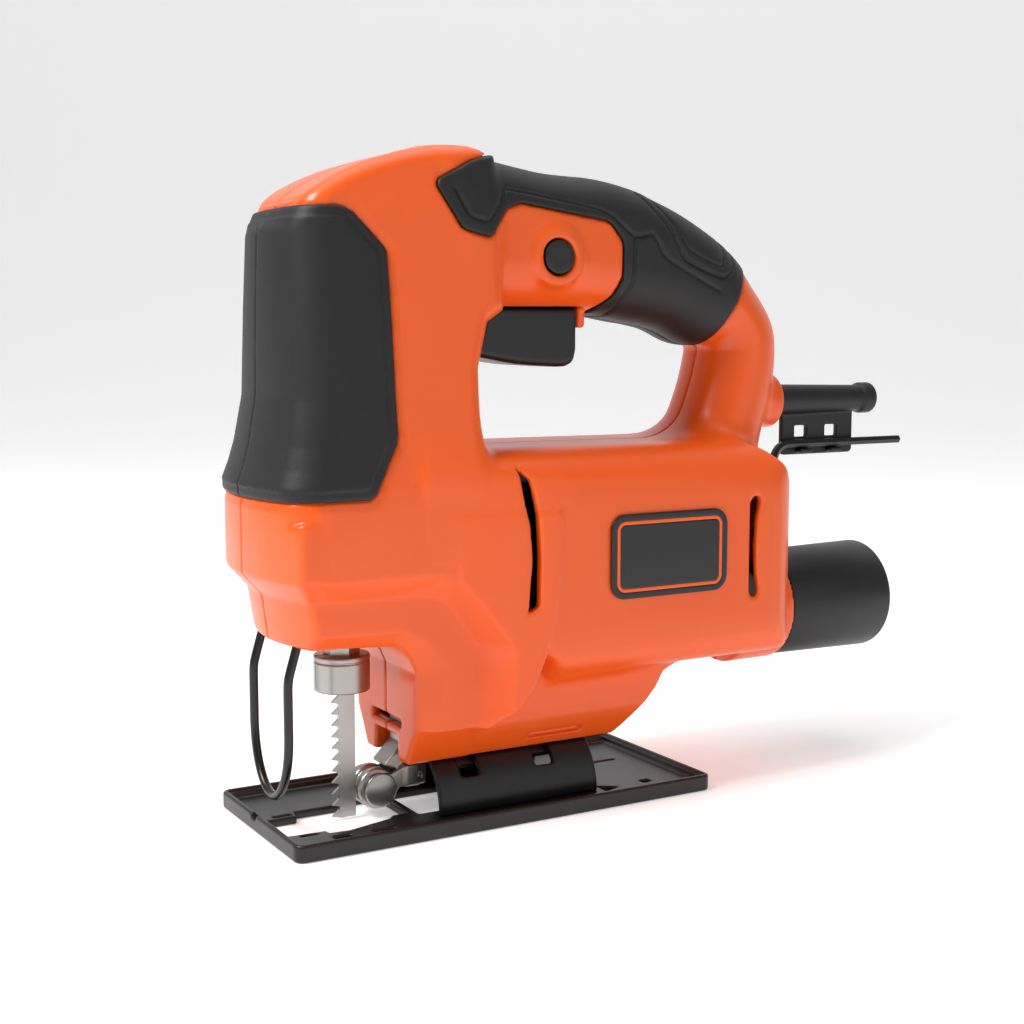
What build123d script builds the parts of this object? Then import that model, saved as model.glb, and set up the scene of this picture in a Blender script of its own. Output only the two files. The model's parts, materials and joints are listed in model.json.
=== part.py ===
from build123d import *
import math
import os

os.makedirs("parts", exist_ok=True)

# Jigsaw with a tilting shoe. Millimetres. +X is the cutting direction, +Y is the tool's left, +Z is up.
# The origin is the centre of the shoe's underside.

wall = 3.0
skin_out = 0.5
skin_in = 1.0

shoe_length = 140.6
shoe_width = 62.0
shoe_plate = 2.5
shoe_rim_height = 5.1
shoe_rim = 2.5
saddle_r = 20.0
saddle_wall = 2.2
saddle_front = 20.5
saddle_rear = -34.3
bevel_z = 2.5

motor_z = 75.0
module = 0.85
pinion_teeth = 8
gear_teeth = 56
gear_z = motor_z + module * (pinion_teeth + gear_teeth) / 2
crank_r = 9.0
plunger_x = 43.0
hex_flats = 9.4
blade_back = 39.2
blade_tip = 46.5
blade_thick = 1.2
clamp_r = 8.4
roller_x = 33.5
roller_z = 9.0
barrel_rear = -106.4
port_z = 52.0
port_rear = -113.6
port_r = 18.6
spigot_r = 17.2
tube_r = 18.75
tube_bore = 16.5
boss_rear = -115.6
cord_z = 121.5
key_y = 2.85
key_r = 1.45
guard_x = 65.3
guard_half = 13.5
guard_r = 1.35
lock_x = -19.0
lock_z = 166.2
lock_r = 5.1


def ngon(points, axis, low, high, inset=0.0):
    """Closed polygon pushed along one axis; points are in the other two axes, in X, Y, Z order."""
    face = make_face(Polyline(*points, close=True))
    if inset:
        face = offset(face, amount=-inset, kind=Kind.INTERSECTION)
    planes = {
        "X": Plane(origin=(low, 0, 0), x_dir=(0, 1, 0), z_dir=(1, 0, 0)),
        "Y": Plane(origin=(0, low, 0), x_dir=(1, 0, 0), z_dir=(0, -1, 0)),
        "Z": Plane(origin=(0, 0, low), x_dir=(1, 0, 0), z_dir=(0, 0, 1)),
    }
    way = {"X": (1, 0, 0), "Y": (0, 1, 0), "Z": (0, 0, 1)}[axis]
    return extrude(planes[axis] * face, amount=high - low, dir=way)


def block(x0, x1, y0, y1, z0, z1):
    return Pos((x0 + x1) / 2, (y0 + y1) / 2, (z0 + z1) / 2) * Box(x1 - x0, y1 - y0, z1 - z0)


def rod(start, end, r, r_end=None):
    """Cylinder or cone between two points."""
    way = Vector(*end) - Vector(*start)
    base = Plane(origin=start, z_dir=way.normalized())
    if r_end is None:
        return base * Pos(0, 0, way.length / 2) * Cylinder(r, way.length)
    return base * Pos(0, 0, way.length / 2) * Cone(r, r_end, way.length)


def ring(start, end, r, bore):
    return rod(start, end, r) - rod(start, end, bore)


def join(solids):
    total = solids[0]
    for solid in solids[1:]:
        total = total + solid
    return total


def mirror_y(solid):
    return mirror(solid, about=Plane.XZ)


def save(name, shape):
    shape.label = name
    export_step(shape, "parts/" + name + ".step")


# ---- outer form of the housing, drawn so that it can be inset or grown by d ----

nose_sections = [
    # z, front x on the seam, half width, bow radius, corner radius
    (56.0, 65.6, 23.4, 60.0, 5.0),
    (70.0, 67.4, 25.4, 69.0, 6.0),
    (77.0, 73.2, 30.5, 78.0, 7.0),
    (97.0, 73.2, 30.5, 78.0, 7.0),
    (101.0, 73.4, 30.3, 76.0, 7.0),
    (113.0, 69.6, 28.2, 68.0, 7.0),
    (126.0, 67.3, 26.8, 62.0, 7.0),
    (152.0, 66.7, 25.0, 55.0, 7.0),
    (176.0, 65.8, 22.4, 50.0, 7.0),
    (200.0, 65.0, 17.0, 46.0, 7.0),
]
head_profile = [
    (9.5, 54.0), (80.0, 54.0), (80.0, 172.0), (66.2, 177.0), (62.8, 180.7), (53.8, 186.2), (44.6, 190.2),
    (35.3, 193.2), (25.8, 195.5), (16.1, 197.0), (7.9, 197.9), (3.5, 197.5), (0.5, 195.6), (0.5, 150.5),
    (8.0, 143.0), (9.5, 134.0),
]
barrel_profile = [
    (-14.5, 37.0), (-10.0, 47.8), (-1.5, 54.7), (18.3, 74.9), (21.5, 77.0), (28.0, 77.0), (28.0, 112.0),
    (-86.0, 111.5), (-92.5, 107.5), (-96.0, 103.5), (-99.5, 99.2), (-102.5, 95.0), (-104.6, 90.0),
    (-105.9, 84.0), (-106.4, 74.0), (-106.4, 58.0), (-105.6, 49.0), (-102.5, 43.0), (-96.0, 39.5),
]
lower_profile = [
    (-40.5, 17.6), (28.8, 17.6), (28.8, 78.0), (-60.0, 78.0), (-60.0, 38.0), (-57.0, 32.3), (-53.4, 28.3),
    (-45.8, 19.8),
]
lower_section = [
    (-14.8, 17.0), (14.8, 17.0), (14.8, 18.2), (18.2, 24.5), (21.8, 29.8), (24.0, 46.0), (26.4, 60.0),
    (26.4, 79.0), (-26.4, 79.0), (-26.4, 60.0), (-24.0, 46.0), (-21.8, 29.8), (-18.2, 24.5), (-14.8, 18.2),
]
handle_stations = [
    # x, z, direction along the handle, half height, half width, corner radius
    (11.0, 173.9, (-1, 0, 0.0), 22.8, 20.6, 15.0),
    (-5.0, 172.0, (-1, 0, -0.04), 21.9, 20.0, 15.0),
    (-24.0, 170.6, (-1, 0, -0.05), 20.6, 19.2, 15.5),
    (-44.0, 169.5, (-1, 0, -0.09), 20.3, 18.6, 16.0),
    (-61.8, 165.5, (-1, 0, -0.26), 18.8, 18.0, 16.0),
    (-80.1, 158.0, (-1, 0, -0.52), 16.7, 17.6, 15.5),
    (-95.4, 148.6, (-0.72, 0, -0.69), 12.4, 17.0, 11.5),
    (-98.9, 138.0, (-0.12, 0, -1), 13.6, 16.6, 12.5),
    (-97.0, 127.0, (0.20, 0, -1), 14.4, 16.4, 12.5),
    (-92.0, 114.0, (0.45, 0, -1), 14.6, 16.4, 12.5),
    (-87.0, 100.0, (0.30, 0, -1), 15.0, 16.4, 13.0),
]


def nose_section(z, front, half, bow, corner, d):
    front = front - d
    half = half - d
    back = 9.5 + d
    meet = front - bow + math.sqrt(bow * bow - half * half)
    edges = [
        Line((back, -half, z), (meet, -half, z)),
        ThreePointArc((meet, -half, z), (front, 0, z), (meet, half, z)),
        Line((meet, half, z), (back, half, z)),
        Line((back, half, z), (back, -half, z)),
    ]
    face = make_face(Curve() + edges)
    return fillet(face.vertices().sort_by(Axis.X)[-2:], radius=max(corner - d, 2.0))


def nose_form(d):
    rows = []
    for z, front, half, bow, corner in nose_sections:
        rows.append(nose_section(z, front, half, bow, corner, d))
    body = loft(rows, ruled=True)
    return body & ngon(head_profile, "Y", -40, 40, d) & block(-200, 200, -60, 60, 55.5 + d, 210)


def barrel_form(d):
    plane = Plane(origin=(barrel_rear + d, 0, 75.4), x_dir=(0, 1, 0), z_dir=(1, 0, 0))
    bar = extrude(plane * RectangleRounded(70.6 - 2 * d, 70.0 - 2 * d, 17 - d), amount=28 - barrel_rear - 2 * d)
    plan = make_face(Polyline((barrel_rear, -35.5), (-16, -35.5), (28.2, -30.4), (28.2, 30.4), (-16, 35.5),
                              (barrel_rear, 35.5), close=True))
    plan = fillet(plan.vertices().sort_by(Axis.X)[:2], radius=20)
    plan = offset(plan, amount=-d, kind=Kind.INTERSECTION) if d else plan
    return bar & extrude(Pos(0, 0, 20) * plan, amount=110) & ngon(barrel_profile, "Y", -40, 40, d)


def lower_form(d):
    body = ngon(lower_section, "X", -62, 30, d)
    return body & ngon(lower_profile, "Y", -40, 40, d)


def handle_form(d):
    rows = []
    for x, z, way, high, wide, corner in handle_stations:
        plane = Plane(origin=(x, 0, z), x_dir=(0, 1, 0), z_dir=way)
        rows.append(plane * RectangleRounded(2 * (wide - d), 2 * (high - d), corner - d))
    return loft(rows)


def housing_form(d):
    return join([nose_form(d), barrel_form(d), lower_form(d), handle_form(d)])


# ---- regions of the black skins, in X and Z ----

pad_outline = [
    (90.0, 178.5), (52.2, 178.5), (48.7, 177.9), (37.5, 166.5), (36.3, 136.5), (35.6, 114.3), (46.5, 97.6),
    (90.0, 97.6),
]
grip_outline = [
    (9.9, 192.8), (21.7, 186.1), (14.2, 172.8), (5.1, 170.8), (-2.5, 180.2), (-6.6, 181.2), (-37.6, 176.9),
    (-43.1, 171.4), (-43.1, 162.1), (-41.4, 155.2), (-37.0, 150.6), (-37.0, 143.0), (-80.0, 137.0),
    (-92.5, 160.0), (-101.0, 168.5), (-98.0, 205.0), (0.5, 205.0), (3.0, 196.5),
]
screw_points = [
    (56.0, 158.0), (58.5, 84.0), (17.0, 184.0), (-72.0, 167.0), (-99.0, 140.0), (-96.5, 92.0), (18.0, 36.0),
]


def screw_bosses():
    posts = []
    for x, z in screw_points:
        posts.append(rod((x, -40, z), (x, 40, z), 4.2))
    return join(posts)


def inner_ribs():
    """Seats for the motor, bearings, plunger guides and switch, before trimming to the housing."""
    stator = block(-56, -52, -36, 36, 38, 111) - rod((-57, 0, motor_z), (-51, 0, motor_z), 27.1)
    stator_front = block(-26, -22, -36, 36, 38, 111) - rod((-27, 0, motor_z), (-21, 0, motor_z), 27.1)
    rear = block(-96, -88, -36, 36, 38, 111) - rod((-97, 0, motor_z), (-87, 0, motor_z), 9.55)
    upper = block(35.5, 50.5, -29, 29, 131, 139) - block(35.9, 50.1, -7.1, 7.1, 130, 140)
    lower = block(35.5, 50.5, -29, 29, 58.5, 66) - block(35.9, 50.1, -7.1, 7.1, 58, 67)
    case_seat = block(2, 10.4, -30, 30, 40, 111) - block(3.1, 9.3, -60, 60, 45.9, 130)
    case_seat = case_seat - block(0, 12, -20, 20, 44, 111)
    switch_seat = block(-36, -33.2, -20, 20, 152, 186) - block(-40, -30, -7, 7, 150, 180)
    return [stator, stator_front, rear, upper, lower, case_seat, switch_seat]


def arch(r, x0, x1):
    return rod((x0, 0, bevel_z), (x1, 0, bevel_z), r)


def side_cuts():
    """Openings through the walls: vents, trigger slot, plunger hole, notch and screw way."""
    rear_vent = ngon([(-85.6, 62), (-83.0, 61), (-81.2, 64), (-81.2, 90), (-83.0, 93), (-85.6, 92.5)], "Y", -40, 40)
    front_vent = ngon([(1.1, 105.0), (-2.6, 101.8), (-5.4, 83.0), (-5.0, 65.1), (-1.3, 63.3), (-2.4, 80.0),
                       (-0.6, 96.2)], "Y", -40, 40)
    skirt_vent = block(-30.2, -11.5, -30, 30, 21.6, 23.0) - block(-40, 0, -14.0, 14.0, 20, 25)
    nose_vent = block(20, 32, -10, 10, 28.0, 30.6)
    notch = block(20.4, 32, -7.5, 7.5, 10, 25.3)
    bracket_way = block(20.4, 26.2, -4.9, 4.9, 22, 28)
    plunger_way = rod((plunger_x, 0, 50), (plunger_x, 0, 60), 9.2)
    trigger_way = block(-33.5, 5.4, -9.9, 9.9, 133, 158)
    screw_way = rod((8.8, 0, 10), (8.8, 0, 30), 2.7) + rod((-17, 0, 10), (-17, 0, 30), 2.7)
    return [rear_vent, front_vent, skirt_vent, nose_vent, notch, bracket_way, plunger_way, trigger_way, screw_way]


def port_parts():
    collar = rod((-97, 0, port_z), (port_rear, 0, port_z), port_r)
    bore = rod((-101.2, 0, port_z), (-120, 0, port_z), spigot_r + 0.2)
    throat = rod((-95.8, 0, port_z), (-118, 0, port_z), 14.5)
    return collar, bore + throat


def make_housing():
    outer = housing_form(0)
    core = housing_form(skin_in)
    grown = housing_form(-skin_out)
    inner = housing_form(wall)
    collar, port_bore = port_parts()
    pads = ngon(pad_outline, "Y", -45, 45)
    grips = ngon(grip_outline, "Y", -45, 45)
    hexagon = ngon([(-17.6, 95.7), (-22.7, 100.1), (-78.2, 100.3), (-83.1, 95.3), (-83.8, 63.7), (-79.1, 58.3),
                    (-24.8, 60.2), (-18.8, 66.1)], "Y", -50, 50)
    outer = outer - (pads - core) - (grips - core)
    outer = outer - (hexagon - block(-130, 40, -34.7, 34.7, 20, 120))
    outer = outer + collar
    outer = outer + rod((-96, 0, cord_z), (boss_rear, 0, cord_z), 9.5)
    outer = outer + rod((lock_x, 12, lock_z), (lock_x, 21.0, lock_z), 8.5)
    outer = outer + block(-36.5, -33.5, -8, 8, 145.5, 154)
    shell = outer - arch(saddle_r + 0.4, -70, 21.2)
    inner = inner - arch(saddle_r + 3.4, -70, 40)
    shell = shell - inner
    ribs = join(inner_ribs()) & (inner - block(-200, 200, -60, 60, 111, 130))
    shell = shell + ribs + (screw_bosses() & inner)
    for cut in side_cuts():
        shell = shell - cut
    shell = shell - port_bore
    shell = shell - rod((-96, 0, cord_z), (-130, 0, cord_z), 5.4) - rod((-98, 0, cord_z), (-110.4, 0, cord_z), 7.6)
    shell = shell - rod((lock_x, 8, lock_z), (lock_x, 30, lock_z), lock_r + 0.3)
    for side in (1, -1):
        y = side * guard_half
        shell = shell - rod((guard_x, y, 47), (61.2, y, 60.74), guard_r + 0.1)
    for x, z in screw_points:
        shell = shell - rod((x, -15, z), (x, 12, z), 1.5)
        shell = shell - rod((x, -45, z), (x, -14, z), 3.6)
    left = block(-200, 120, 0, 60, -10, 210)
    right = block(-200, 120, -60, 0, -10, 210)
    skin = grown - core
    save("left_housing", shell & left)
    save("right_housing", shell & right)
    trims = rod((lock_x, 0, lock_z), (lock_x, 30, lock_z), 8.6)
    for x, z in screw_points:
        trims = trims + rod((x, -45, z), (x, -14, z), 3.6)
    for side, half in (("left", left), ("right", right)):
        save(side + "_front_pad", skin & pads & half)
        save(side + "_grip_pad", (skin & grips & half) - trims)
    badge = block(-71.5, -28.5, 34.75, 35.6, 65.0, 90.5)
    badge = fillet(badge.edges().filter_by(Axis.Y), radius=5)
    save("left_badge", badge)
    save("right_badge", mirror_y(badge))


def make_screws():
    solids = []
    for x, z in screw_points:
        shank = rod((x, -14.0, z), (x, 10, z), 1.45)
        head = rod((x, -17.0, z), (x, -14.0, z), 3.3)
        drive = Pos(x, -16.6, z) * (Box(4.2, 1.6, 0.9) + Box(0.9, 1.6, 4.2))
        solids.append(head + shank - drive)
    save("housing_screws", Compound(children=solids))


# ---- shoe, saddle and bevel clamp ----

def make_shoe():
    plate = block(-shoe_length / 2, shoe_length / 2, -shoe_width / 2, shoe_width / 2, 0, shoe_rim_height)
    plate = fillet(plate.edges().filter_by(Axis.Z), radius=3.0)
    tray = block(-shoe_length / 2 + shoe_rim, shoe_length / 2 - shoe_rim, -shoe_width / 2 + shoe_rim,
                 shoe_width / 2 - shoe_rim, shoe_plate, 10)
    tray = fillet(tray.edges().filter_by(Axis.Z), radius=1.5)
    plate = plate - tray
    main = [(66.0, -2.6), (66.0, 13.0), (54.5, 13.8), (54.2, 16.0), (48.5, 16.6), (34.0, 12.6), (32.2, 10.4),
            (27.2, 10.4), (27.2, -10.2), (40.5, -10.2), (41.5, -6.6), (56.0, -6.6), (56.8, -2.6)]
    clamp_window = [(6.6, -9.8), (24.3, -9.8), (24.3, 13.1), (6.6, 13.1)]
    plate = plate - ngon(main, "Z", -1, 4) - ngon(clamp_window, "Z", -1, 4)
    slots = [(57.5, 63.0, 14.6, 16.0), (49.5, 55.0, 20.0, 22.3), (36.0, 43.0, 20.6, 22.0), (57.5, 63.5, -5.6, -4.2),
             (-58.5, -49.5, -7.6, -6.4), (-54.6, -51.4, 17.6, 20.2), (-27.0, -20.0, -26.0, -24.6)]
    for x0, x1, y0, y1 in slots:
        plate = plate - block(x0, x1, y0, y1, -1, 4)
    notch = [(-36.3, 22.0), (-42.0, 20.0), (-36.3, 16.5)]
    plate = plate - ngon(notch, "Z", -1, 4)
    plate = plate - block(68.5, 72, -4.5, -1.0, 3.6, 6)
    plate = chamfer(plate.edges().group_by(Axis.Z)[-1].filter_by(GeomType.LINE).sort_by(Axis.X)[:1], length=0.4)
    save("shoe", plate)


def wedge(low_deg, high_deg, r, x0, x1):
    """Sector about the bevel axis, from one polar angle to another."""
    steps = 12
    points = [(0, bevel_z)]
    for step in range(steps + 1):
        angle = math.radians(low_deg + (high_deg - low_deg) * step / steps)
        points.append((r * math.cos(angle), bevel_z + r * math.sin(angle)))
    return ngon(points, "X", x0, x1)


def make_saddle():
    pipe = ring((saddle_rear, 0, bevel_z), (saddle_front, 0, bevel_z), saddle_r, saddle_r - saddle_wall)
    pipe = pipe & block(-60, 60, -30, 30, shoe_plate, 40)
    for x0, x1 in ((5.6, 12.1), (-20.0, -13.5)):
        pipe = pipe - wedge(31, 149, 30, x0, x1)
    save("bevel_saddle", pipe)


def make_bevel_clamp():
    outer = saddle_r - saddle_wall - 0.4
    plate = ring((-23.5, 0, bevel_z), (15.5, 0, bevel_z), outer, outer - 2.6)
    plate = plate & wedge(46.4, 133.6, 30, -30, 30)
    plate = plate - rod((8.8, 0, 10), (8.8, 0, 30), 2.6)
    stud = rod((-17, 0, bevel_z + outer - 2.0), (-17, 0, 29.5), 2.5)
    save("bevel_clamp", plate + stud)
    head = rod((8.8, 0, 12.9), (8.8, 0, 16.6), 4.2)
    hexagon = Plane(origin=(8.8, 0, 12.5)) * RegularPolygon(1.7, 6)
    screw = head + rod((8.8, 0, 16.5), (8.8, 0, 29.5), 2.45)
    save("bevel_screw", screw - extrude(hexagon, amount=2.6))


# ---- roller support ----

def make_roller():
    hub = rod((roller_x, -4, roller_z), (roller_x, 4, roller_z), 6.2)
    groove = ring((roller_x, -1.1, roller_z), (roller_x, 1.1, roller_z), 8, 5.3)
    save("roller", hub - groove - rod((roller_x, -5, roller_z), (roller_x, 5, roller_z), 2.05))
    axle = rod((roller_x, -5.9, roller_z), (roller_x, 5.9, roller_z), 2.0)
    caps = rod((roller_x, 5.85, roller_z), (roller_x, 6.7, roller_z), 5.2)
    save("roller_axle", axle + caps + mirror_y(caps))


def make_bracket():
    arm = ngon([(36.6, 5.4), (37.6, 9.0), (35.6, 12.6), (32.2, 13.6), (25.6, 15.2), (20.9, 15.2), (20.9, 8.9),
                (27.0, 9.0), (28.6, 7.2), (31.4, 5.0), (34.4, 4.3)], "Y", 4.4, 5.8)
    arm = arm - rod((roller_x, 0, roller_z), (roller_x, 8, roller_z), 2.0)
    bridge = block(18.3, 25.2, -5.8, 5.8, 8.9, 15.3)
    strut = ngon([(20.9, 15.0), (25.2, 15.0), (31.2, 15.6), (25.4, 22.0), (25.4, 33.0), (20.9, 33.0)], "Y", -4.4, 4.4)
    strut = strut - rod((roller_x, -9, roller_z), (roller_x, 9, roller_z), 7.0)
    save("roller_bracket", join([arm, mirror_y(arm), bridge, strut]))


# ---- blade, clamp and plunger ----

def make_blade():
    pitch = 3.45
    points = [(blade_back, 47.0), (blade_back, 2.4), (blade_back + 1.6, 0.6), (blade_tip - 2.2, 0.6)]
    z = 1.6
    while z < 36.5:
        points.append((blade_tip - 2.2, z))
        points.append((blade_tip, z + 0.9))
        points.append((blade_tip, z + 1.2))
        z = z + pitch
    points.append((blade_tip - 2.2, z))
    points.append((blade_tip - 0.4, z + 1.6))
    points.append((blade_tip - 0.4, 47.0))
    save("blade", ngon(points, "Y", -blade_thick / 2, blade_thick / 2))


def hex_bar(z0, z1, flats):
    face = Plane(origin=(plunger_x, 0, z0)) * RegularPolygon(flats / 2, 6, major_radius=False, rotation=30)
    bar = extrude(face, amount=z1 - z0)
    return bar


def make_clamp():
    body = rod((plunger_x, 0, 39.5), (plunger_x, 0, 50.5), clamp_r)
    body = chamfer(body.edges().filter_by(GeomType.CIRCLE), length=0.5)
    body = body - block(blade_back - 0.1, blade_tip + 0.1, -0.7, 0.7, 39, 47.2)
    body = body - block(blade_tip - 0.3, 53, -0.35, 0.35, 39, 50.6)
    body = body - rod((plunger_x, 0, 47.2), (plunger_x, 0, 51), 3.05)
    body = body - rod((plunger_x, -0.5, 44.5), (plunger_x, -12, 44.5), 2.05)
    save("blade_clamp", body)
    grub = rod((plunger_x, -0.62, 44.5), (plunger_x, -7.6, 44.5), 2.0)
    socket = Plane(origin=(plunger_x, -8, 44.5), z_dir=(0, 1, 0)) * RegularPolygon(1.15, 6)
    save("clamp_screw", grub - extrude(socket, amount=2.8))


def make_plunger():
    bar = hex_bar(50.5, 150.0, hex_flats) + rod((plunger_x, 0, 47.3), (plunger_x, 0, 50.6), 3.0)
    save("plunger", bar)
    rear = plunger_x - hex_flats / 2
    z = gear_z + crank_r
    yoke = block(33.4, rear, -15.5, 15.5, z - 7.5, z + 7.5)
    yoke = yoke - block(33.0, 39, -13.3, 13.3, z - 4.3, z + 4.3)
    save("yoke", yoke)
    guides = []
    for z0, z1 in ((58.6, 65.9), (131.1, 138.9)):
        guide = block(36.0, 50.0, -7.0, 7.0, z0, z1)
        guides.append(guide - hex_bar(z0 - 1, z1 + 1, hex_flats + 0.24))
    save("plunger_guides", Compound(children=guides))


# ---- gear train ----

def gear_solid(teeth, z, x0, x1, phase):
    pitch_r = module * teeth / 2
    points = []
    for tooth in range(teeth):
        centre = 2 * math.pi * (tooth + phase) / teeth + math.pi / 2
        for r, share in ((pitch_r - 0.95, -0.30), (pitch_r + 0.55, -0.13), (pitch_r + 0.55, 0.13),
                         (pitch_r - 0.95, 0.30)):
            angle = centre + share * 2 * math.pi / teeth
            points.append((r * math.cos(angle), z + r * math.sin(angle)))
    return ngon(points, "X", x0, x1)


def make_gear():
    wheel = gear_solid(gear_teeth, gear_z, 14.0, 20.0, 0.5)
    wheel = wheel + rod((12.9, 0, gear_z), (24.0, 0, gear_z), 6.5)
    wheel = wheel - rod((9, 0, gear_z), (25, 0, gear_z), 4.05)
    pin_z = gear_z + crank_r
    wheel = wheel + (rod((19.0, 0, pin_z), (24.0, 0, pin_z), 4.0) - rod((9, 0, gear_z), (30, 0, gear_z), 4.05))
    wheel = wheel - rod((15, 0, pin_z), (25, 0, pin_z), 2.5)
    save("gear", wheel)
    save("crank_pin", rod((15, 0, pin_z), (32.9, 0, pin_z), 2.5))
    save("crank_roller", ring((24.4, 0, pin_z), (32.7, 0, pin_z), 4.0, 2.55))
    save("gear_shaft", rod((3.4, 0, gear_z), (23.8, 0, gear_z), 4.0))


def make_gear_case():
    half = [(20.2, 46.2), (22.8, 60), (22.8, 71), (25.5, 75), (25.5, 98), (17.5, 106.8)]
    plate = ngon(half + [(-y, z) for y, z in reversed(half)], "X", 3.2, 9.2)
    plate = plate - rod((2, 0, motor_z), (10, 0, motor_z), 11.05)
    plate = plate - rod((2, 0, gear_z), (12, 0, gear_z), 4.05)
    rim = ring((9.0, 0, motor_z), (10.4, 0, motor_z), 13.5, 9.5)
    save("gear_case", plate + rim)


# ---- motor ----

def make_armature():
    z = motor_z
    shaft = rod((-97, 0, z), (10.2, 0, z), 4.0)
    shaft = shaft + gear_solid(pinion_teeth, z, 10.0, 22.0, 0.0) + rod((9, 0, z), (22.2, 0, z), 2.3)
    save("armature_shaft", shaft)
    core = ring((-58, 0, z), (-20, 0, z), 16.6, 4.05)
    for step in range(12):
        angle = math.radians(30 * step)
        y = 15.4 * math.cos(angle)
        lift = z + 15.4 * math.sin(angle)
        core = core - rod((-59, y, lift), (-19, y, lift), 1.6)
    save("armature_core", core)
    wires = ring((-62.5, 0, z), (-58.1, 0, z), 14.0, 4.05)
    save("armature_winding", Compound(children=[wires, ring((-19.9, 0, z), (-15.5, 0, z), 14.0, 4.05)]))
    save("commutator", ring((-77.0, 0, z), (-63.0, 0, z), 10.5, 4.05))
    hub = ring((-14.8, 0, z), (-5.0, 0, z), 8.0, 4.05) + ring((-14.8, 0, z), (-13.0, 0, z), 24.5, 7.9)
    blades = []
    for step in range(12):
        angle = 30 * step
        fin = Box(8.2, 17.2, 1.2)
        blades.append(Pos(-9.1, 0, z) * Rot(angle, 0, 0) * Pos(0, 15.8, 0) * fin)
    save("cooling_fan", join([hub] + blades))
    save("front_bearing", ring((2.2, 0, z), (8.9, 0, z), 11.0, 4.05))
    save("rear_bearing", ring((-95.5, 0, z), (-88.5, 0, z), 9.5, 4.05))


def coil_spring(start, way, r, wire_r, length, turns):
    """Round-wire compression spring: mean radius r, wire radius wire_r."""
    line = Helix(pitch=length / turns, height=length, radius=r)
    section = Plane(origin=line @ 0, z_dir=line % 0) * Circle(wire_r)
    coil = sweep(section, path=line, is_frenet=True)
    return Plane(origin=start, z_dir=way) * coil


def make_stator():
    z = motor_z
    core = ring((-58, 0, z), (-20, 0, z), 27.0, 22.5)
    pole = ring((-58, 0, z), (-20, 0, z), 22.7, 17.3) & block(-60, -18, 8, 30, z - 13, z + 13)
    core = core + pole + mirror_y(pole)
    save("stator_core", core)
    coils = []
    for side in (1, -1):
        for end in (1, -1):
            arc = ring((-64, 0, z), (-14.9, 0, z), 22.2, 17.5)
            window = block(-64, -14.9, *sorted((side * 5.0, side * 15.5)), *sorted((z + end * 13.3, z + end * 24)))
            coils.append(arc & window)
    save("field_coils", Compound(children=coils))
    holders = []
    brushes = []
    springs = []
    for side in (1, -1):
        y0, y1 = sorted((side * 12.0, side * 26.0))
        holder = block(-75.0, -65.0, y0, y1, z - 4.6, z + 4.6) - block(-73.2, -66.8, *sorted((side * 11.0, side * 25.0)),
                                                                        z - 3.2, z + 3.2)
        holders.append(holder)
        brushes.append(block(-73.0, -67.0, *sorted((side * 10.9, side * 21.0)), z - 3.0, z + 3.0))
        springs.append(coil_spring((-70, side * 21.35, z), (0, side, 0), 2.2, 0.3, 3.3, 3))
    save("brush_holders", Compound(children=holders))
    save("carbon_brushes", Compound(children=brushes))
    save("brush_springs", Compound(children=springs))


# ---- controls ----

def make_controls():
    outline = [(4.6, 134.3), (3.4, 140.0), (0.2, 149.0), (-0.6, 152.0), (-33.0, 152.0), (-32.8, 138.4),
               (-31.6, 135.2), (-28.6, 133.6), (0.0, 135.6), (2.2, 135.4)]
    paddle = ngon(outline, "Y", -9.4, 9.4)
    paddle = fillet(paddle.edges().filter_by(Axis.X, tolerance=12).group_by(Axis.Z)[0], radius=1.5)
    save("trigger", paddle)
    button = rod((lock_x, 12, lock_z), (lock_x, 21.6, lock_z), lock_r)
    button = fillet(button.edges().filter_by(GeomType.CIRCLE).sort_by(Axis.Y)[-1:], radius=0.8)
    save("lock_button", button)
    save("switch_body", block(-32.5, -3.0, -8.4, 8.4, 158.6, 178.5))


# ---- rear fittings ----

def make_rear():
    spigot = rod((-101.6, 0, port_z), (-115, 0, port_z), spigot_r)
    tube = rod((port_rear - 0.3, 0, port_z), (-157.0, 0, port_z), 17.95, tube_r)
    tube = fillet(tube.edges().filter_by(GeomType.CIRCLE).sort_by(Axis.X)[:1], radius=0.7)
    tube = tube + spigot - rod((-101, 0, port_z), (-158, 0, port_z), 15.5)
    save("dust_adaptor", tube - rod((-116, 0, port_z), (-158, 0, port_z), tube_bore))
    relief = rod((-116.0, 0, cord_z), (-155.6, 0, cord_z), 5.3, 4.5)
    relief = relief + rod((-110.2, 0, cord_z), (-116.2, 0, cord_z), 5.3)
    relief = relief + rod((-105.5, 0, cord_z), (-110.2, 0, cord_z), 7.4)
    relief = relief + rod((-155.4, 0, cord_z), (-160.8, 0, cord_z), 5.45)
    web = block(-153.0, -121.2, -1, 1, 102.5, 119)
    web = fillet(web.edges().filter_by(Axis.Y).group_by(Axis.Z)[0], radius=2)
    for x0, x1 in ((-132.2, -126.9), (-145.8, -140.5)):
        web = web - block(x0, x1, -2, 2, 108.6, 112.5)
        web = web + block(x0, x1, 0.8, 4.6, 103.2, 104.6)
    relief = relief + web
    save("strain_relief", relief - rod((-104, 0, cord_z), (-170, 0, cord_z), 3.3))
    bend = 6.0
    top = 106.5
    x = -116.2
    path = Line((-173, key_y, top), (x - bend, key_y, top))
    middle = (x - bend * (1 - math.sin(math.pi / 4)), key_y, top - bend * (1 - math.cos(math.pi / 4)))
    turn = ThreePointArc((x - bend, key_y, top), middle, (x, key_y, top - bend))
    drop = Line((x, key_y, top - bend), (x, key_y, 88.5))
    wire = Curve() + [path, turn, drop]
    section = Plane(origin=(-173, key_y, top), z_dir=(1, 0, 0)) * RegularPolygon(key_r, 6)
    save("hex_key", sweep(section, path=wire, transition=Transition.ROUND))


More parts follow.
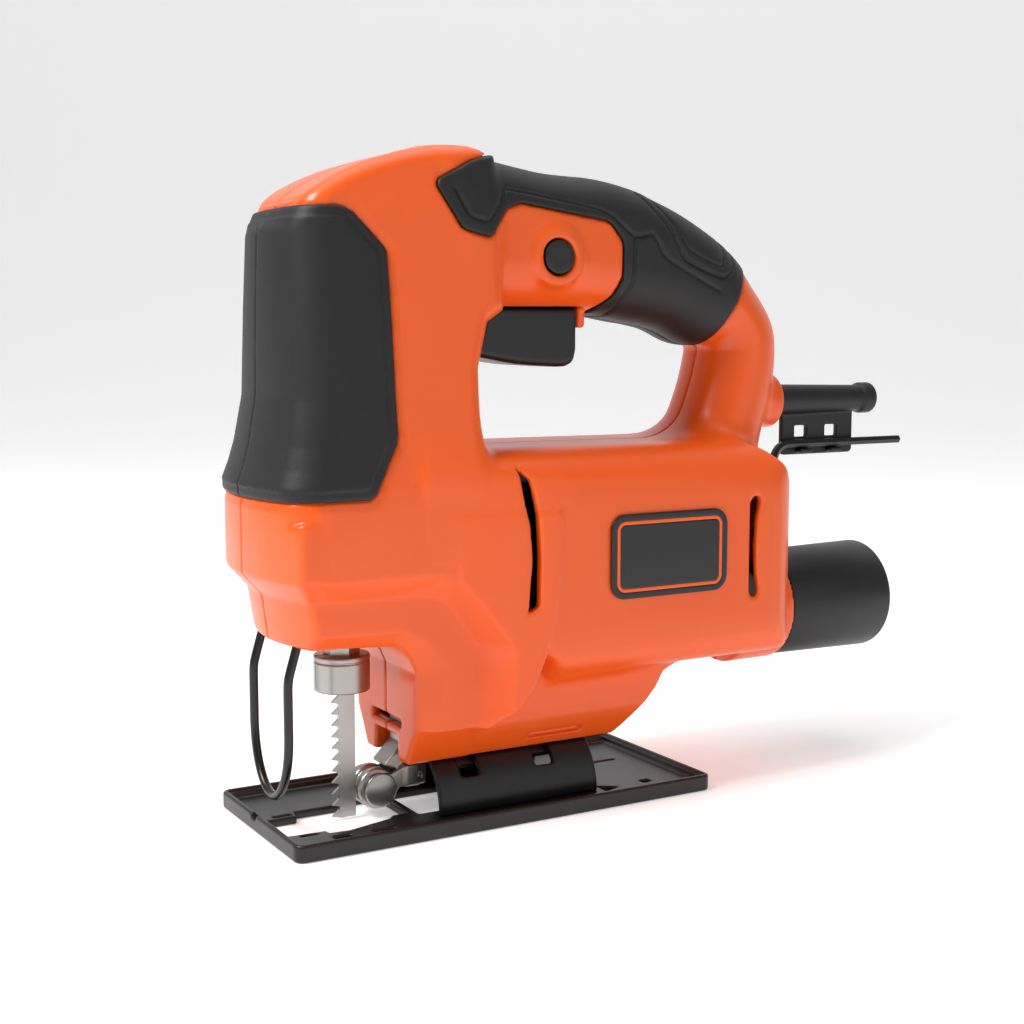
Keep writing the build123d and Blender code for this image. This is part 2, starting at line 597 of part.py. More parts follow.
def make_guard():
    half = guard_half
    x = guard_x
    points = []
    for step in range(17):
        angle = math.pi + math.pi * step / 16
        points.append((x, half * math.cos(angle), 31 + 20 * math.sin(angle)))
    bow = Spline(*points, tangents=[(0, 0, -1), (0, 0, 1)])
    lines = [
        Line((61.6, -half, 59.4), (x, -half, 47.0)),
        Line((x, -half, 47.0), (x, -half, 31)),
        bow,
        Line((x, half, 31), (x, half, 47.0)),
        Line((x, half, 47.0), (61.6, half, 59.4)),
    ]
    section = Plane(origin=(61.6, -half, 59.4), z_dir=(3.7, 0, -12.4)) * Circle(guard_r)
    save("wire_guard", sweep(section, path=Curve() + lines, transition=Transition.ROUND))


make_housing()
make_screws()
make_shoe()
make_saddle()
make_bevel_clamp()
make_roller()
make_bracket()
make_blade()
make_clamp()
make_plunger()
make_gear()
make_gear_case()
make_armature()
make_stator()
make_controls()
make_rear()
make_guard()
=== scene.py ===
import bpy
import bmesh
import json
import math
import numpy as np
from mathutils import Matrix, Vector


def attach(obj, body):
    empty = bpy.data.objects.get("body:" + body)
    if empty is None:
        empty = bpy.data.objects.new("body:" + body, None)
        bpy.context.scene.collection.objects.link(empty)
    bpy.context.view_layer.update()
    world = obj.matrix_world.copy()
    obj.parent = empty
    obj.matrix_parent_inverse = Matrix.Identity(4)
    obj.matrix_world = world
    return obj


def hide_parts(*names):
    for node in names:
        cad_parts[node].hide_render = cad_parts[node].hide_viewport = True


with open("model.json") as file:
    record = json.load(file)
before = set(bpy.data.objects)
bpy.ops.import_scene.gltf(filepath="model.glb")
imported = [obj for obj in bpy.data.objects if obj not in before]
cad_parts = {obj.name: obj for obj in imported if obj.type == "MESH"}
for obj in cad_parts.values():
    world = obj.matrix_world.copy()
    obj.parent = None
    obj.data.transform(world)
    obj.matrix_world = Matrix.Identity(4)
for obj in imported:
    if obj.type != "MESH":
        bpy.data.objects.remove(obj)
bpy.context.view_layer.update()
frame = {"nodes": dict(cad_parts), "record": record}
mm = 0.001


# colour and material helpers
def linearColour(hexText):
    channels = []
    for start in (0, 2, 4):
        value = int(hexText[start:start + 2], 16) / 255
        channels.append(value / 12.92 if value <= 0.04045 else ((value + 0.055) / 1.055) ** 2.4)
    return (*channels, 1.0)


def addNode(tree, kind, settings=None, links=None):
    node = tree.nodes.new(kind)
    for key, value in (settings or {}).items():
        if isinstance(key, str) and hasattr(node, key) and not key.startswith("in:"):
            setattr(node, key, value)
        else:
            node.inputs[key[3:] if isinstance(key, str) else key].default_value = value
    for key, socket in (links or {}).items():
        tree.links.new(socket, node.inputs[key])
    return node


def newMaterial(name):
    material = bpy.data.materials.new(name)
    material.use_nodes = True
    tree = material.node_tree
    shader = tree.nodes["Principled BSDF"]
    coords = addNode(tree, "ShaderNodeTexCoord")
    toMm = addNode(tree, "ShaderNodeVectorMath", {"operation": "SCALE", "in:Scale": 1000.0},
                   {0: coords.outputs["Object"]})
    return material, tree, shader, toMm.outputs[0]


def noise(tree, vector, scale, detail=3.0, rough=0.5):
    return addNode(tree, "ShaderNodeTexNoise", {"in:Scale": scale, "in:Detail": detail, "in:Roughness": rough},
                   {"Vector": vector})


def bump(tree, shader, height, distance, strength=1.0):
    node = addNode(tree, "ShaderNodeBump", {"in:Strength": strength, "in:Distance": distance}, {"Height": height})
    tree.links.new(node.outputs[0], shader.inputs["Normal"])
    return node


def spread(tree, shader, socket, value, low, high):
    ramp = addNode(tree, "ShaderNodeMapRange", {"in:To Min": low, "in:To Max": high}, {"Value": value})
    tree.links.new(ramp.outputs[0], shader.inputs[socket])


def plasticMaterial(name, colour, rough, grain, depth, variation=0.04):
    material, tree, shader, place = newMaterial(name)
    shader.inputs["Base Color"].default_value = linearColour(colour)
    shader.inputs["IOR"].default_value = 1.5
    broad = noise(tree, place, 0.12, 2.0)
    spread(tree, shader, "Roughness", broad.outputs["Fac"], rough - variation, rough + variation)
    fine = noise(tree, place, 1.0 / grain, 2.0, 0.6)
    bump(tree, shader, fine.outputs["Fac"], depth * mm)
    return material


def leatherMaterial(name, colour, rough, cell, depth):
    material, tree, shader, place = newMaterial(name)
    shader.inputs["Base Color"].default_value = linearColour(colour)
    cells = addNode(tree, "ShaderNodeTexVoronoi",
                    {"feature": "SMOOTH_F1", "in:Scale": 1.0 / cell, "in:Smoothness": 0.6}, {"Vector": place})
    fine = noise(tree, place, 2.6, 3.0, 0.6)
    mixed = addNode(tree, "ShaderNodeMath", {"operation": "ADD"},
                    {0: cells.outputs["Distance"], 1: fine.outputs["Fac"]})
    spread(tree, shader, "Roughness", fine.outputs["Fac"], rough - 0.08, rough + 0.08)
    bump(tree, shader, mixed.outputs[0], depth * mm)
    return material


def metalMaterial(name, colour, rough, stretch, depth=0.004, variation=0.06):
    material, tree, shader, place = newMaterial(name)
    shader.inputs["Base Color"].default_value = linearColour(colour)
    shader.inputs["Metallic"].default_value = 1.0
    scaled = addNode(tree, "ShaderNodeVectorMath", {"operation": "MULTIPLY"}, {0: place})
    scaled.inputs[1].default_value = stretch
    lines = noise(tree, scaled.outputs[0], 1.0, 3.0, 0.6)
    spread(tree, shader, "Roughness", lines.outputs["Fac"], rough - variation, rough + variation)
    bump(tree, shader, lines.outputs["Fac"], depth * mm, 0.6)
    return material


looks = {
    # satin orange moulding, a soft broad highlight and no grain at arm's length
    "orange": plasticMaterial("orange_abs", "F05C14", 0.32, 0.35, 0.006),
    # moulded nylon of the trigger and the dust tube, a dry satin black
    "black": plasticMaterial("black_nylon", "0F0F10", 0.42, 0.4, 0.02),
    # soft grip rubber with a fine hide grain that breaks the highlight
    "grip": leatherMaterial("grip_rubber", "101011", 0.56, 0.85, 0.02),
    "smoothRubber": plasticMaterial("sleeve_rubber", "0E0E0F", 0.5, 0.5, 0.01),
    # powder coat, a slightly pebbled satin black
    "shoePaint": plasticMaterial("powder_coat_black", "0B0B0C", 0.34, 0.7, 0.02, 0.06),
    "blackSteel": plasticMaterial("blackened_steel", "0A0A0B", 0.3, 0.9, 0.006, 0.05),
    "badge": plasticMaterial("badge_foil", "111112", 0.3, 1.2, 0.002),
    # cleanly ground steel with streaks along the blade
    "blade": metalMaterial("ground_blade_steel", "AFAEAC", 0.34, (6.0, 6.0, 0.15), 0.004),
    "steel": metalMaterial("satin_steel", "A9A7A3", 0.34, (1.2, 1.2, 1.2), 0.006),
    # cast metal, a rougher lumpy grey
    "cast": metalMaterial("cast_zinc", "A19E99", 0.38, (1.6, 1.6, 1.6), 0.03, 0.1),
    "darkSteel": metalMaterial("oiled_gear_steel", "77767A", 0.4, (2.0, 2.0, 2.0), 0.008),
    "aluminium": metalMaterial("cast_aluminium", "BFC0C2", 0.42, (1.0, 1.0, 1.0), 0.03),
    "copper": metalMaterial("enamelled_copper", "B86A3C", 0.35, (0.8, 9.0, 9.0), 0.02),
    "bronze": metalMaterial("sintered_bronze", "A9814E", 0.45, (3.0, 3.0, 3.0), 0.02),
    "carbon": plasticMaterial("pressed_carbon", "19191A", 0.6, 0.3, 0.02),
}
slotLooks = {
    "orange_plastic": "orange", "black_rubber": "grip", "badge_plastic": "badge", "black_steel": "blackSteel",
    "shoe_paint": "shoePaint", "bright_steel": "steel", "cast_metal": "cast", "blade_steel": "blade",
    "bronze": "bronze", "gear_steel": "darkSteel", "cast_aluminium": "aluminium", "lamination_steel": "darkSteel",
    "copper_wire": "copper", "copper_bar": "copper", "black_plastic": "black", "bearing_steel": "steel",
    "carbon": "carbon", "soft_rubber": "smoothRubber",
}
for part in frame["record"]["subparts"]:
    node = frame["nodes"][part["node"]]
    node.data.materials.clear()
    node.data.materials.append(looks[slotLooks[part["material_slot"]]])
print("materials made")


# solid fields: negative inside, millimetres
def softMax(a, b, k):
    h = np.maximum(k - np.abs(a - b), 0) / k
    return np.maximum(a, b) + h * h * k * 0.25


def softMin(a, b, k):
    h = np.maximum(k - np.abs(a - b), 0) / k
    return np.minimum(a, b) - h * h * k * 0.25


# both at once, with the shared edge rounded to radius r
def roundCut(a, b, r):
    corner = np.sqrt(np.maximum(a + r, 0) ** 2 + np.maximum(b + r, 0) ** 2)
    return np.minimum(-r, np.maximum(a, b)) + corner


# smooth curve through the points
def smoothLine(points, steps=6, closed=False):
    pts = np.array(points, float)
    count = len(pts)
    out = []
    for i in range(count if closed else count - 1):
        if closed:
            p0, p1, p2, p3 = pts[(i - 1) % count], pts[i], pts[(i + 1) % count], pts[(i + 2) % count]
        else:
            p0, p1, p2, p3 = pts[max(i - 1, 0)], pts[i], pts[i + 1], pts[min(i + 2, count - 1)]
        for t in np.arange(steps) / steps:
            out.append(0.5 * (2 * p1 + (p2 - p0) * t + (2 * p0 - 5 * p1 + 4 * p2 - p3) * t ** 2
                              + (3 * p1 - p0 - 3 * p2 + p3) * t ** 3))
    if not closed:
        out.append(pts[-1])
    return [tuple(p) for p in out]


# distance to an open line of points in one plane
def lineField(u, v, points):
    best = None
    for (ax, ay), (bx, by) in zip(points[:-1], points[1:]):
        dx, dy = bx - ax, by - ay
        t = np.clip(((u - ax) * dx + (v - ay) * dy) / (dx * dx + dy * dy + 1e-9), 0, 1)
        gap = (u - ax - t * dx) ** 2 + (v - ay - t * dy) ** 2
        best = gap if best is None else np.minimum(best, gap)
    return np.sqrt(best)


# signed distance to a closed outline in one plane
def outlineField(u, v, points):
    u, v = np.broadcast_arrays(u, v)
    inside = np.zeros(u.shape, bool)
    loop = list(points) + [points[0]]
    for (ax, ay), (bx, by) in zip(loop[:-1], loop[1:]):
        if ay == by:
            continue
        crosses = (v >= min(ay, by)) & (v < max(ay, by))
        inside ^= crosses & (u < ax + (v - ay) * (bx - ax) / (by - ay))
    gap = lineField(u, v, loop)
    return np.where(inside, -gap, gap)


def boxField(x, y, z, low, high, r=0.0):
    parts = []
    for value, a, b in ((x, low[0], high[0]), (y, low[1], high[1]), (z, low[2], high[2])):
        parts.append(np.abs(value - (a + b) / 2) - (b - a) / 2 + r)
    outside = np.sqrt(sum(np.maximum(p, 0) ** 2 for p in parts))
    return outside + np.minimum(np.maximum(np.maximum(parts[0], parts[1]), parts[2]), 0) - r


# round bar along one axis; centre is given in the other two, in order
def rodField(x, y, z, axis, centre, r, low, high, soft=0.3):
    along, a, b = {"X": (x, y, z), "Y": (y, x, z), "Z": (z, x, y)}[axis]
    radial = np.sqrt((a - centre[0]) ** 2 + (b - centre[1]) ** 2) - r
    return roundCut(radial, np.abs(along - (low + high) / 2) - (high - low) / 2, soft)


def gridAxes(low, high, step):
    axes = [np.arange(a - 1.5 * step, b + 2.5 * step, step, dtype=np.float32) for a, b in zip(low, high)]
    return axes[0][:, None, None], axes[1][None, :, None], axes[2][None, None, :]


# surface of a field as four-sided faces, one point for each cell that the surface crosses
def netMesh(field, low, step):
    shape = field.shape
    inside = field < 0
    cells = tuple(n - 1 for n in shape)
    total = cells[0] * cells[1] * cells[2]
    sums = np.zeros((total, 3))
    counts = np.zeros(total)
    quads = []
    for axis in range(3):
        first = [slice(None)] * 3
        second = [slice(None)] * 3
        first[axis] = slice(0, -1)
        second[axis] = slice(1, None)
        crossing = inside[tuple(first)] != inside[tuple(second)]
        index = np.argwhere(crossing)
        others = [a for a in range(3) if a != axis]
        keep = np.ones(len(index), bool)
        for other in others:
            keep &= (index[:, other] > 0) & (index[:, other] < shape[other] - 1)
        index = index[keep]
        after = index.copy()
        after[:, axis] += 1
        a = field[tuple(index.T)].astype(float)
        b = field[tuple(after.T)].astype(float)
        point = index.astype(float)
        point[:, axis] += a / (a - b)
        corner = []
        for du, dv in ((-1, -1), (0, -1), (0, 0), (-1, 0)):
            cell = index.copy()
            cell[:, others[0]] += du
            cell[:, others[1]] += dv
            flat = (cell[:, 0] * cells[1] + cell[:, 1]) * cells[2] + cell[:, 2]
            corner.append(flat)
            for c in range(3):
                sums[:, c] += np.bincount(flat, weights=point[:, c], minlength=total)
            counts += np.bincount(flat, minlength=total)
        quad = np.stack(corner, 1)
        flip = (a < 0) if axis != 1 else (a >= 0)
        quad[~flip] = quad[~flip][:, ::-1]
        quads.append(quad)
    used = np.flatnonzero(counts)
    number = np.full(total, -1)
    number[used] = np.arange(len(used))
    points = sums[used] / counts[used][:, None]
    points = pullToSurface(field, points)
    return points * step + np.array(low), number[np.concatenate(quads)]


def sample(field, points):
    base = np.clip(np.floor(points).astype(int), 0, np.array(field.shape) - 2)
    part = points - base
    total = 0
    for i in (0, 1):
        for j in (0, 1):
            for k in (0, 1):
                weight = np.abs(1 - i - part[:, 0]) * np.abs(1 - j - part[:, 1]) * np.abs(1 - k - part[:, 2])
                total = total + weight * field[base[:, 0] + i, base[:, 1] + j, base[:, 2] + k]
    return total


def pullToSurface(field, points):
    for turn in range(2):
        value = sample(field, points)
        slope = np.stack([(sample(field, points + shift) - sample(field, points - shift))
                          for shift in np.eye(3) * 0.5], 1)
        move = value[:, None] * slope / (np.sum(slope * slope, 1)[:, None] + 1e-6)
        length = np.linalg.norm(move, axis=1)[:, None] + 1e-9
        points = points - move * np.minimum(1, 0.4 / length)
    return points


def meshObject(name, points, faces, look, smooth=True):
    mesh = bpy.data.meshes.new(name)
    mesh.vertices.add(len(points))
    mesh.vertices.foreach_set("co", (np.asarray(points, float) * mm).ravel())
    faces = np.asarray(faces)
    mesh.loops.add(faces.size)
    mesh.loops.foreach_set("vertex_index", faces.ravel())
    mesh.polygons.add(len(faces))
    mesh.polygons.foreach_set("loop_start", np.arange(len(faces)) * faces.shape[1])
    mesh.update(calc_edges=True)
    mesh.validate()
    mesh.materials.append(looks[look])
    if smooth:
        mesh.polygons.foreach_set("use_smooth", np.ones(len(mesh.polygons), bool))
    obj = bpy.data.objects.new(name, mesh)
    bpy.context.scene.collection.objects.link(obj)
    return obj


# adds the modifiers, keeps their result as the mesh and takes them off again
def settle(obj, *modifiers):
    for kind, settings in modifiers:
        modifier = obj.modifiers.new(kind.lower(), kind)
        for key, value in settings.items():
            setattr(modifier, key, value)
    graph = bpy.context.evaluated_depsgraph_get()
    mesh = bpy.data.meshes.new_from_object(obj.evaluated_get(graph), depsgraph=graph)
    obj.modifiers.clear()
    old = obj.data
    obj.data = mesh
    mesh.name = obj.name
    bpy.data.meshes.remove(old)
    return obj


def fieldObject(name, make, low, high, step, look, keep=1.0, flipY=False):
    step = step * 1.0
    x, y, z = gridAxes(low, high, step)
    field = np.ascontiguousarray(np.broadcast_to(make(x, y, z), (x.size, y.size, z.size)), dtype=np.float32)
    points, faces = netMesh(field, (x.flat[0], y.flat[0], z.flat[0]), step)
    if flipY:
        points = points * np.array([1, -1, 1])
        faces = faces[:, ::-1]
    obj = meshObject(name, points, faces, look)
    if keep < 1:
        settle(obj, ("DECIMATE", {"ratio": keep}))
        obj.data.polygons.foreach_set("use_smooth", np.ones(len(obj.data.polygons), bool))
    print(name, len(obj.data.polygons), "faces")
    return obj


# the housing's shape
nose = {
    "z": [56, 70, 76.5, 97, 101, 107, 113, 126, 152, 176, 200],
    "front": [65.6, 67.4, 73.2, 73.2, 73.4, 71.2, 69.6, 67.3, 66.7, 65.8, 65.0],
    "half": [21.6, 25.4, 30.5, 30.5, 30.3, 29.1, 28.2, 26.8, 25.0, 22.6, 17.5],
    "bow": [60, 69, 78, 78, 76, 72, 68, 62, 55, 50, 46],
}
headTop = smoothLine([(65.6, 175.0), (62.0, 179.2), (53.8, 185.2), (44.6, 189.8), (35.3, 193.1), (25.8, 195.6),
                      (16.1, 197.0), (9.0, 197.3)], 3) + [(5.0, 196.6), (2.6, 195.4), (0.8, 194.6)]
headOutline = [(9.5, 55.5), (90, 55.5), (90, 170.0), (70, 174.5)] + headTop + [(0.5, 150.5), (6.0, 147.0), (9.5, 134.0)]
gripTop = smoothLine([(20, 194.9), (0.3, 194.5), (-3.8, 193.8), (-12.0, 192.5), (-20.4, 191.4), (-28.9, 191.0),
                      (-37.6, 190.8), (-46.5, 189.7), (-55.6, 187.7), (-60.2, 186.0), (-69.5, 182.7),
                      (-79.1, 178.3), (-88.9, 172.8), (-96.0, 167.0), (-102.1, 159.9), (-106.4, 154.8),
                      (-109.8, 149.6), (-111.7, 144.4), (-112.3, 138.0), (-111.9, 131.0), (-110.4, 122.0),
                      (-107.5, 113.0), (-105.8, 107.0), (-103.0, 100.0)], 4)
gripUnder = smoothLine([(-66, 100.0), (-73.2, 109.5), (-76.5, 114.5), (-78.9, 119.0), (-82.2, 127.5),
                        (-83.8, 133.0), (-85.0, 138.6)], 3) + smoothLine(
    [(-84.4, 140.6), (-79.5, 140.8), (-74.7, 141.9), (-66.8, 145.4), (-59.0, 147.2), (-51.3, 148.3), (-41.5, 150.0),
     (-36.0, 150.6)], 3) + [(20, 151.0)]
gripOutlineAll = gripTop + gripUnder
barrelOutline = [(-14.5, 37.4), (-10, 47.8), (-1.5, 54.7), (18.3, 74.9), (21.5, 77), (29.5, 77), (29.5, 112),
                 (-60, 110.6)] + smoothLine([(-84.0, 110.6), (-90.0, 108.2), (-95.3, 104.0), (-100.3, 98.6),
                                             (-103.4, 93.3), (-105.1, 88.1), (-105.9, 80.2), (-106.3, 70.0),
                                             (-106.3, 55.0), (-105.3, 46.0), (-102.0, 41.0), (-96.0, 39.6)], 3)
barrelOutline += [(-60, 39.4)]
lowerOutline = [(28.8, 17.6), (28.8, 78), (-62, 78), (-62, 40)] + smoothLine(
    [(-59.0, 37.6), (-57.0, 33.0), (-53.4, 28.4), (-46.4, 20.4)], 3) + [(-43.4, 17.8), (-41, 17.6)]
lowerSection = [(0, 17), (14.8, 17), (14.8, 18.2), (18.2, 24.5), (20.8, 28.6), (21.0, 46), (21.0, 79), (0, 79)]
rearSection = [(0, 17), (14.8, 17), (14.8, 18.2), (18.2, 24.5), (19.4, 28.0), (20.5, 36), (26, 44), (30, 60), (0, 79)]
boreHeight = 52.0
cordHeight = 121.5
buttonPlace = (-19.0, 166.2)
screwPoints = [(56, 158), (58.5, 84), (17, 184), (-72, 167), (-99, 140), (-96.5, 92), (18, 36)]


fairingEdge = [(-12.2, 93.0), (-12.2, 84.3), (-11.6, 73.8), (-10.4, 63.2), (-7.4, 50.2), (-3.1, 40.0), (1.7, 34.7),
               (5.4, 32.5), (9.0, 29.0)]
stepLines = [
    [(90, 78), (41.5, 77.9), (26.6, 77.3), (21.5, 76.4), (18.5, 73.8), (11, 64.4), (3.5, 54.3), (2.2, 51), (2.8, 43.2),
     (4, 35), (5.2, 30)],
    [(90, 70.6), (40.3, 69.9), (26.3, 69.2), (21.2, 67.4), (16, 60.7), (10.8, 53.4), (11.1, 48.1), (12.3, 40.3),
     (13.2, 32.5), (13.5, 29)],
    [(90, 61.2), (43.2, 60.6), (34.9, 60.3), (29.9, 58.3), (26.5, 55.3), (23.1, 51.3), (21.4, 48), (21.7, 41.3),
     (23.2, 29)],
    [(90, 56.4), (52.6, 56.2), (41.7, 55.5), (36.1, 55.2), (33.3, 53.3), (30.5, 50.4), (28.6, 46), (28.6, 28)],
]


# half width of the nose block: full, a slope down to a recessed level and a slope to the opening's edge
def steppedFlank(x, z, wide):
    gaps = [outlineField(x, z, line + [(line[-1][0], 5), (-90, 5), (-90, 140), (90, 140)]) for line in stepLines]
    first = np.clip(gaps[0] / (np.maximum(gaps[0], 0) + np.maximum(-gaps[1], 0) + 0.01), 0, 1)
    second = np.clip(gaps[2] / (np.maximum(gaps[2], 0) + np.maximum(-gaps[3], 0) + 0.01), 0, 1)
    level = np.interp(z, [30, 60, 70], [24.4, 25.0, 25.4])
    half = wide + (level - wide) * first
    return half + (21.4 - level) * second, gaps[3]


def housingForm(x, y, z):
    side = np.abs(y)
    zs = nose["z"]
    half = np.interp(z, zs, nose["half"])
    front = np.interp(z, zs, nose["front"])
    bow = np.interp(z, zs, nose["bow"])
    flank = side - half
    prow = np.sqrt((x - front + bow) ** 2 + y ** 2) - bow
    prow = np.where(x > front - bow, prow, -20)
    plan = roundCut(flank, prow, 7.5)
    head = roundCut(plan, outlineField(x, z, headOutline), 4.5)
    a = side - (35.3 - 17)
    b = np.abs(z - 75.0) - (35.6 - 17)
    barrel = np.sqrt(np.maximum(a, 0) ** 2 + np.maximum(b, 0) ** 2) + np.minimum(np.maximum(a, b), 0) - 17
    plan = [(-106.6, -30)] + [(-106.6, 15.5)]
    for step in range(1, 9):
        angle = math.radians(90 - 90 * step / 8)
        plan.append((-86.6 - 20 * math.sin(angle), 15.5 + 20 * math.cos(angle)))
    plan += [(-16, 34.9), (29.5, 30.3), (29.5, -30)]
    barrel = roundCut(barrel, outlineField(x, side, plan), 2.0)
    profile = outlineField(x, z, barrelOutline)
    barrel = softMax(barrel, profile, np.where(z < 80, 5.0, 1.0) + 0 * x)
    lower = roundCut(outlineField(side, z, [(-30, 17)] + lowerSection[1:-1] + [(-30, 79)]),
                     outlineField(x, z, lowerOutline), 1.6)
    rear = outlineField(side, z, [(-30, 17)] + rearSection[1:-1] + [(-30, 79)])
    edge = np.interp(z, [17, 29, 32.5, 34.7, 40, 50.2, 63.2], [9.0, 9.0, 5.4, 1.7, -3.1, -7.4, -10.4])
    lower = softMax(lower, softMin(rear, edge - x, 3.0), 2.0)
    blendHigh = np.interp(z, [96, 108, 120, 140, 150], [1.0, 6.0, 12.0, 8.0, 4.0])
    body = softMin(head, barrel, blendHigh)
    body = softMin(body, lower, np.interp(z, [28, 40, 50, 77], [3.0, 4.0, 2.0, 1.0]) + 0 * x)
    wide = np.interp(x, [-16, 28.2], [35.5, 30.5])
    stepped, open = steppedFlank(x, z, wide)
    block = roundCut((side - stepped) * 0.85, open, 1.2)
    rearLimit = outlineField(x, z, fairingEdge + [(80, 20), (80, 93)])
    block = roundCut(block, rearLimit + 0 * side, 1.2)
    block = np.maximum(block, 29.0 - z)
    cheek = np.where(x > 20, side - 30.5, -20)  # the nose is never wider than this
    block = softMax(block, np.where(x > 9.5, prow, -20) + 0 * z, 2.0)
    block = softMax(block, cheek, 1.0)
    body = np.minimum(body, block)
    wide = np.interp(x, [-105, -80, -60, -40, -10, 15], [16.6, 17.4, 18.2, 18.8, 20.2, 21.0])
    grip = roundCut(outlineField(x, z, gripOutlineAll), side - wide, 15.0)
    blendGrip = np.interp(x, [-90, -60, -20, 0, 12], [10.0, 9.0, 3.0, 3.0, 6.0]) + 0 * z
    body = softMin(body, grip, blendGrip)
    boss = rodField(x, y, z, "X", (0, cordHeight), 9.3, -115.6, -95, 1.2)
    collar = rodField(x, y, z, "X", (0, boreHeight), 18.7, -113.6, -95, 0.8)
    body = softMin(body, boss, 3.0)
    return softMin(body, collar, 3.5)


padOutline = [(95, 178.7), (52.4, 178.6), (49.6, 178.0), (47.6, 176.9), (38.6, 167.6), (37.9, 166.0), (37.3, 136.5),
              (37.0, 116.0), (37.4, 113.4), (45.0, 99.6), (46.8, 98.2), (95, 98.2)]
gripPadOutline = [(9.9, 192.8), (20.6, 187.2), (21.4, 185.0), (14.6, 173.4), (12.6, 172.4), (6.2, 171.0),
                  (4.4, 171.5), (-2.0, 179.6), (-6.6, 181.2), (-37.0, 177.3), (-39.0, 176.2), (-42.6, 172.2),
                  (-43.3, 170.2), (-43.2, 160.5), (-41.4, 155.2), (-37.0, 150.4), (-37.0, 130), (-80.5, 130.0),
                  (-82.4, 140.0), (-86.7, 150.3), (-92.3, 160.2), (-99.0, 168.6), (-99, 205), (0.2, 205),
                  (0.6, 195.6)]
hexOutline = [(-17.6, 95.7), (-22.7, 100.1), (-78.2, 100.3), (-83.1, 95.3), (-83.8, 63.7), (-79.1, 58.3),
              (-24.8, 60.2), (-18.8, 66.1)]
frontVent = [(1.1, 105.5), (-2.6, 101.8), (-4.6, 92.0), (-5.2, 80.0), (-5.0, 65.1), (-1.3, 63.3), (-2.6, 78.5),
             (-2.0, 88.0), (0.0, 97.2)]
rearVent = [(-81.2, 63.0), (-82.4, 61.4), (-84.4, 61.6), (-84.9, 63.6), (-83.9, 70.0), (-83.7, 78.0),
            (-84.1, 86.0), (-85.4, 91.6), (-84.8, 93.4), (-82.6, 93.2), (-81.2, 91.4)]


def housingHalf(x, y, z, left):
    form = housingForm(x, y, z)
    side = np.abs(y)
    shell = form
    panel = outlineField(x, z, hexOutline)
    shell = softMax(shell, -roundCut(panel, 34.75 - side + 0 * x, 0.2), 0.35)
    if left:
        ring = np.sqrt((x - buttonPlace[0]) ** 2 + (z - buttonPlace[1]) ** 2)
        boss = roundCut(ring - 8.6, y - 21.2, 1.6)
        shell = softMin(shell, np.maximum(boss, 12 - y), 3.0)
        shell = softMax(shell, -np.maximum(ring - 5.5, 12 - y), 0.9)
    pad = np.maximum(outlineField(x, z, padOutline), -(form + 1.2))
    grip = np.maximum(outlineField(x, z, gripPadOutline), -(form + 1.2))
    shell = softMax(shell, -np.minimum(pad, grip), 0.7)
    bead = np.abs(outlineField(x, z, padOutline) - 1.1) - 0.5
    shell = softMax(shell, -softMax(bead, -(form + 0.35), 0.5), 0.8)
    inner = form + 3.0
    shell = np.maximum(shell, -inner)
    arch = np.sqrt(y ** 2 + (z - 2.5) ** 2) - 20.5
    roof = np.maximum(np.sqrt(y ** 2 + (z - 2.5) ** 2) - 23.4, form)
    shell = np.minimum(shell, np.maximum(roof, np.maximum(x - 26, -x - 50)))
    shell = np.minimum(shell, np.maximum(form, 24.5 - x + 0 * y) + np.maximum(z - 27.5, 0))
    shell = softMax(shell, -np.maximum(arch, x - 21.2), 0.6)
    cuts = [
        boxField(x, y, z, (-60, -7.5, 5), (40, 7.5, 25.3), 0.3) + np.maximum(20.5 - x, 0),
        roundCut(outlineField(x, z, frontVent), 20 - side, 0.3),
        roundCut(outlineField(x, z, rearVent), 32.4 - side, 0.3),
        boxField(x, side, z, (-30.2, 14.6, 21.4), (-11.5, 40, 22.9), 0.3),
        boxField(x, y, z, (22, -10, 28.0), (40, 10, 30.6), 0.3),
        rodField(x, y, z, "Z", (43, 0), 9.6, 45, 60.5),
        boxField(x, y, z, (-33.6, -9.9, 130), (5.6, 9.9, 158), 1.0),
        rodField(x, y, z, "X", (0, boreHeight), 17.6, -140, -101.0, 0.3),
        rodField(x, y, z, "X", (0, cordHeight), 5.6, -140, -96, 0.2),
    ]
    for cut in cuts:
        shell = softMax(shell, -cut, 0.6)
    if not left:
        for px, pz in screwPoints:
            shell = softMax(shell, -rodField(x, y, z, "Y", (px, pz), 3.7, 14, 40), 0.7)
    lip = boxField(x, y, z, (-36.6, -8, 145.6), (-33.6, 8, 153), 0.8)
    shell = np.minimum(shell, lip)
    return softMax(shell, 0.08 - y, 0.4)


def skinField(outline, grooves, inset, form, x, z, outset=0.55, soft=1.1):
    region = outlineField(x, z, outline) + inset
    skin = roundCut(form - outset, region, soft * 0.7)
    for points, width, depth in grooves:
        gap = lineField(x, z, points) - width
        skin = softMax(skin, -softMax(gap, -(form - outset + depth), 0.5), 0.5)
    return np.maximum(skin, -(form + 1.1))


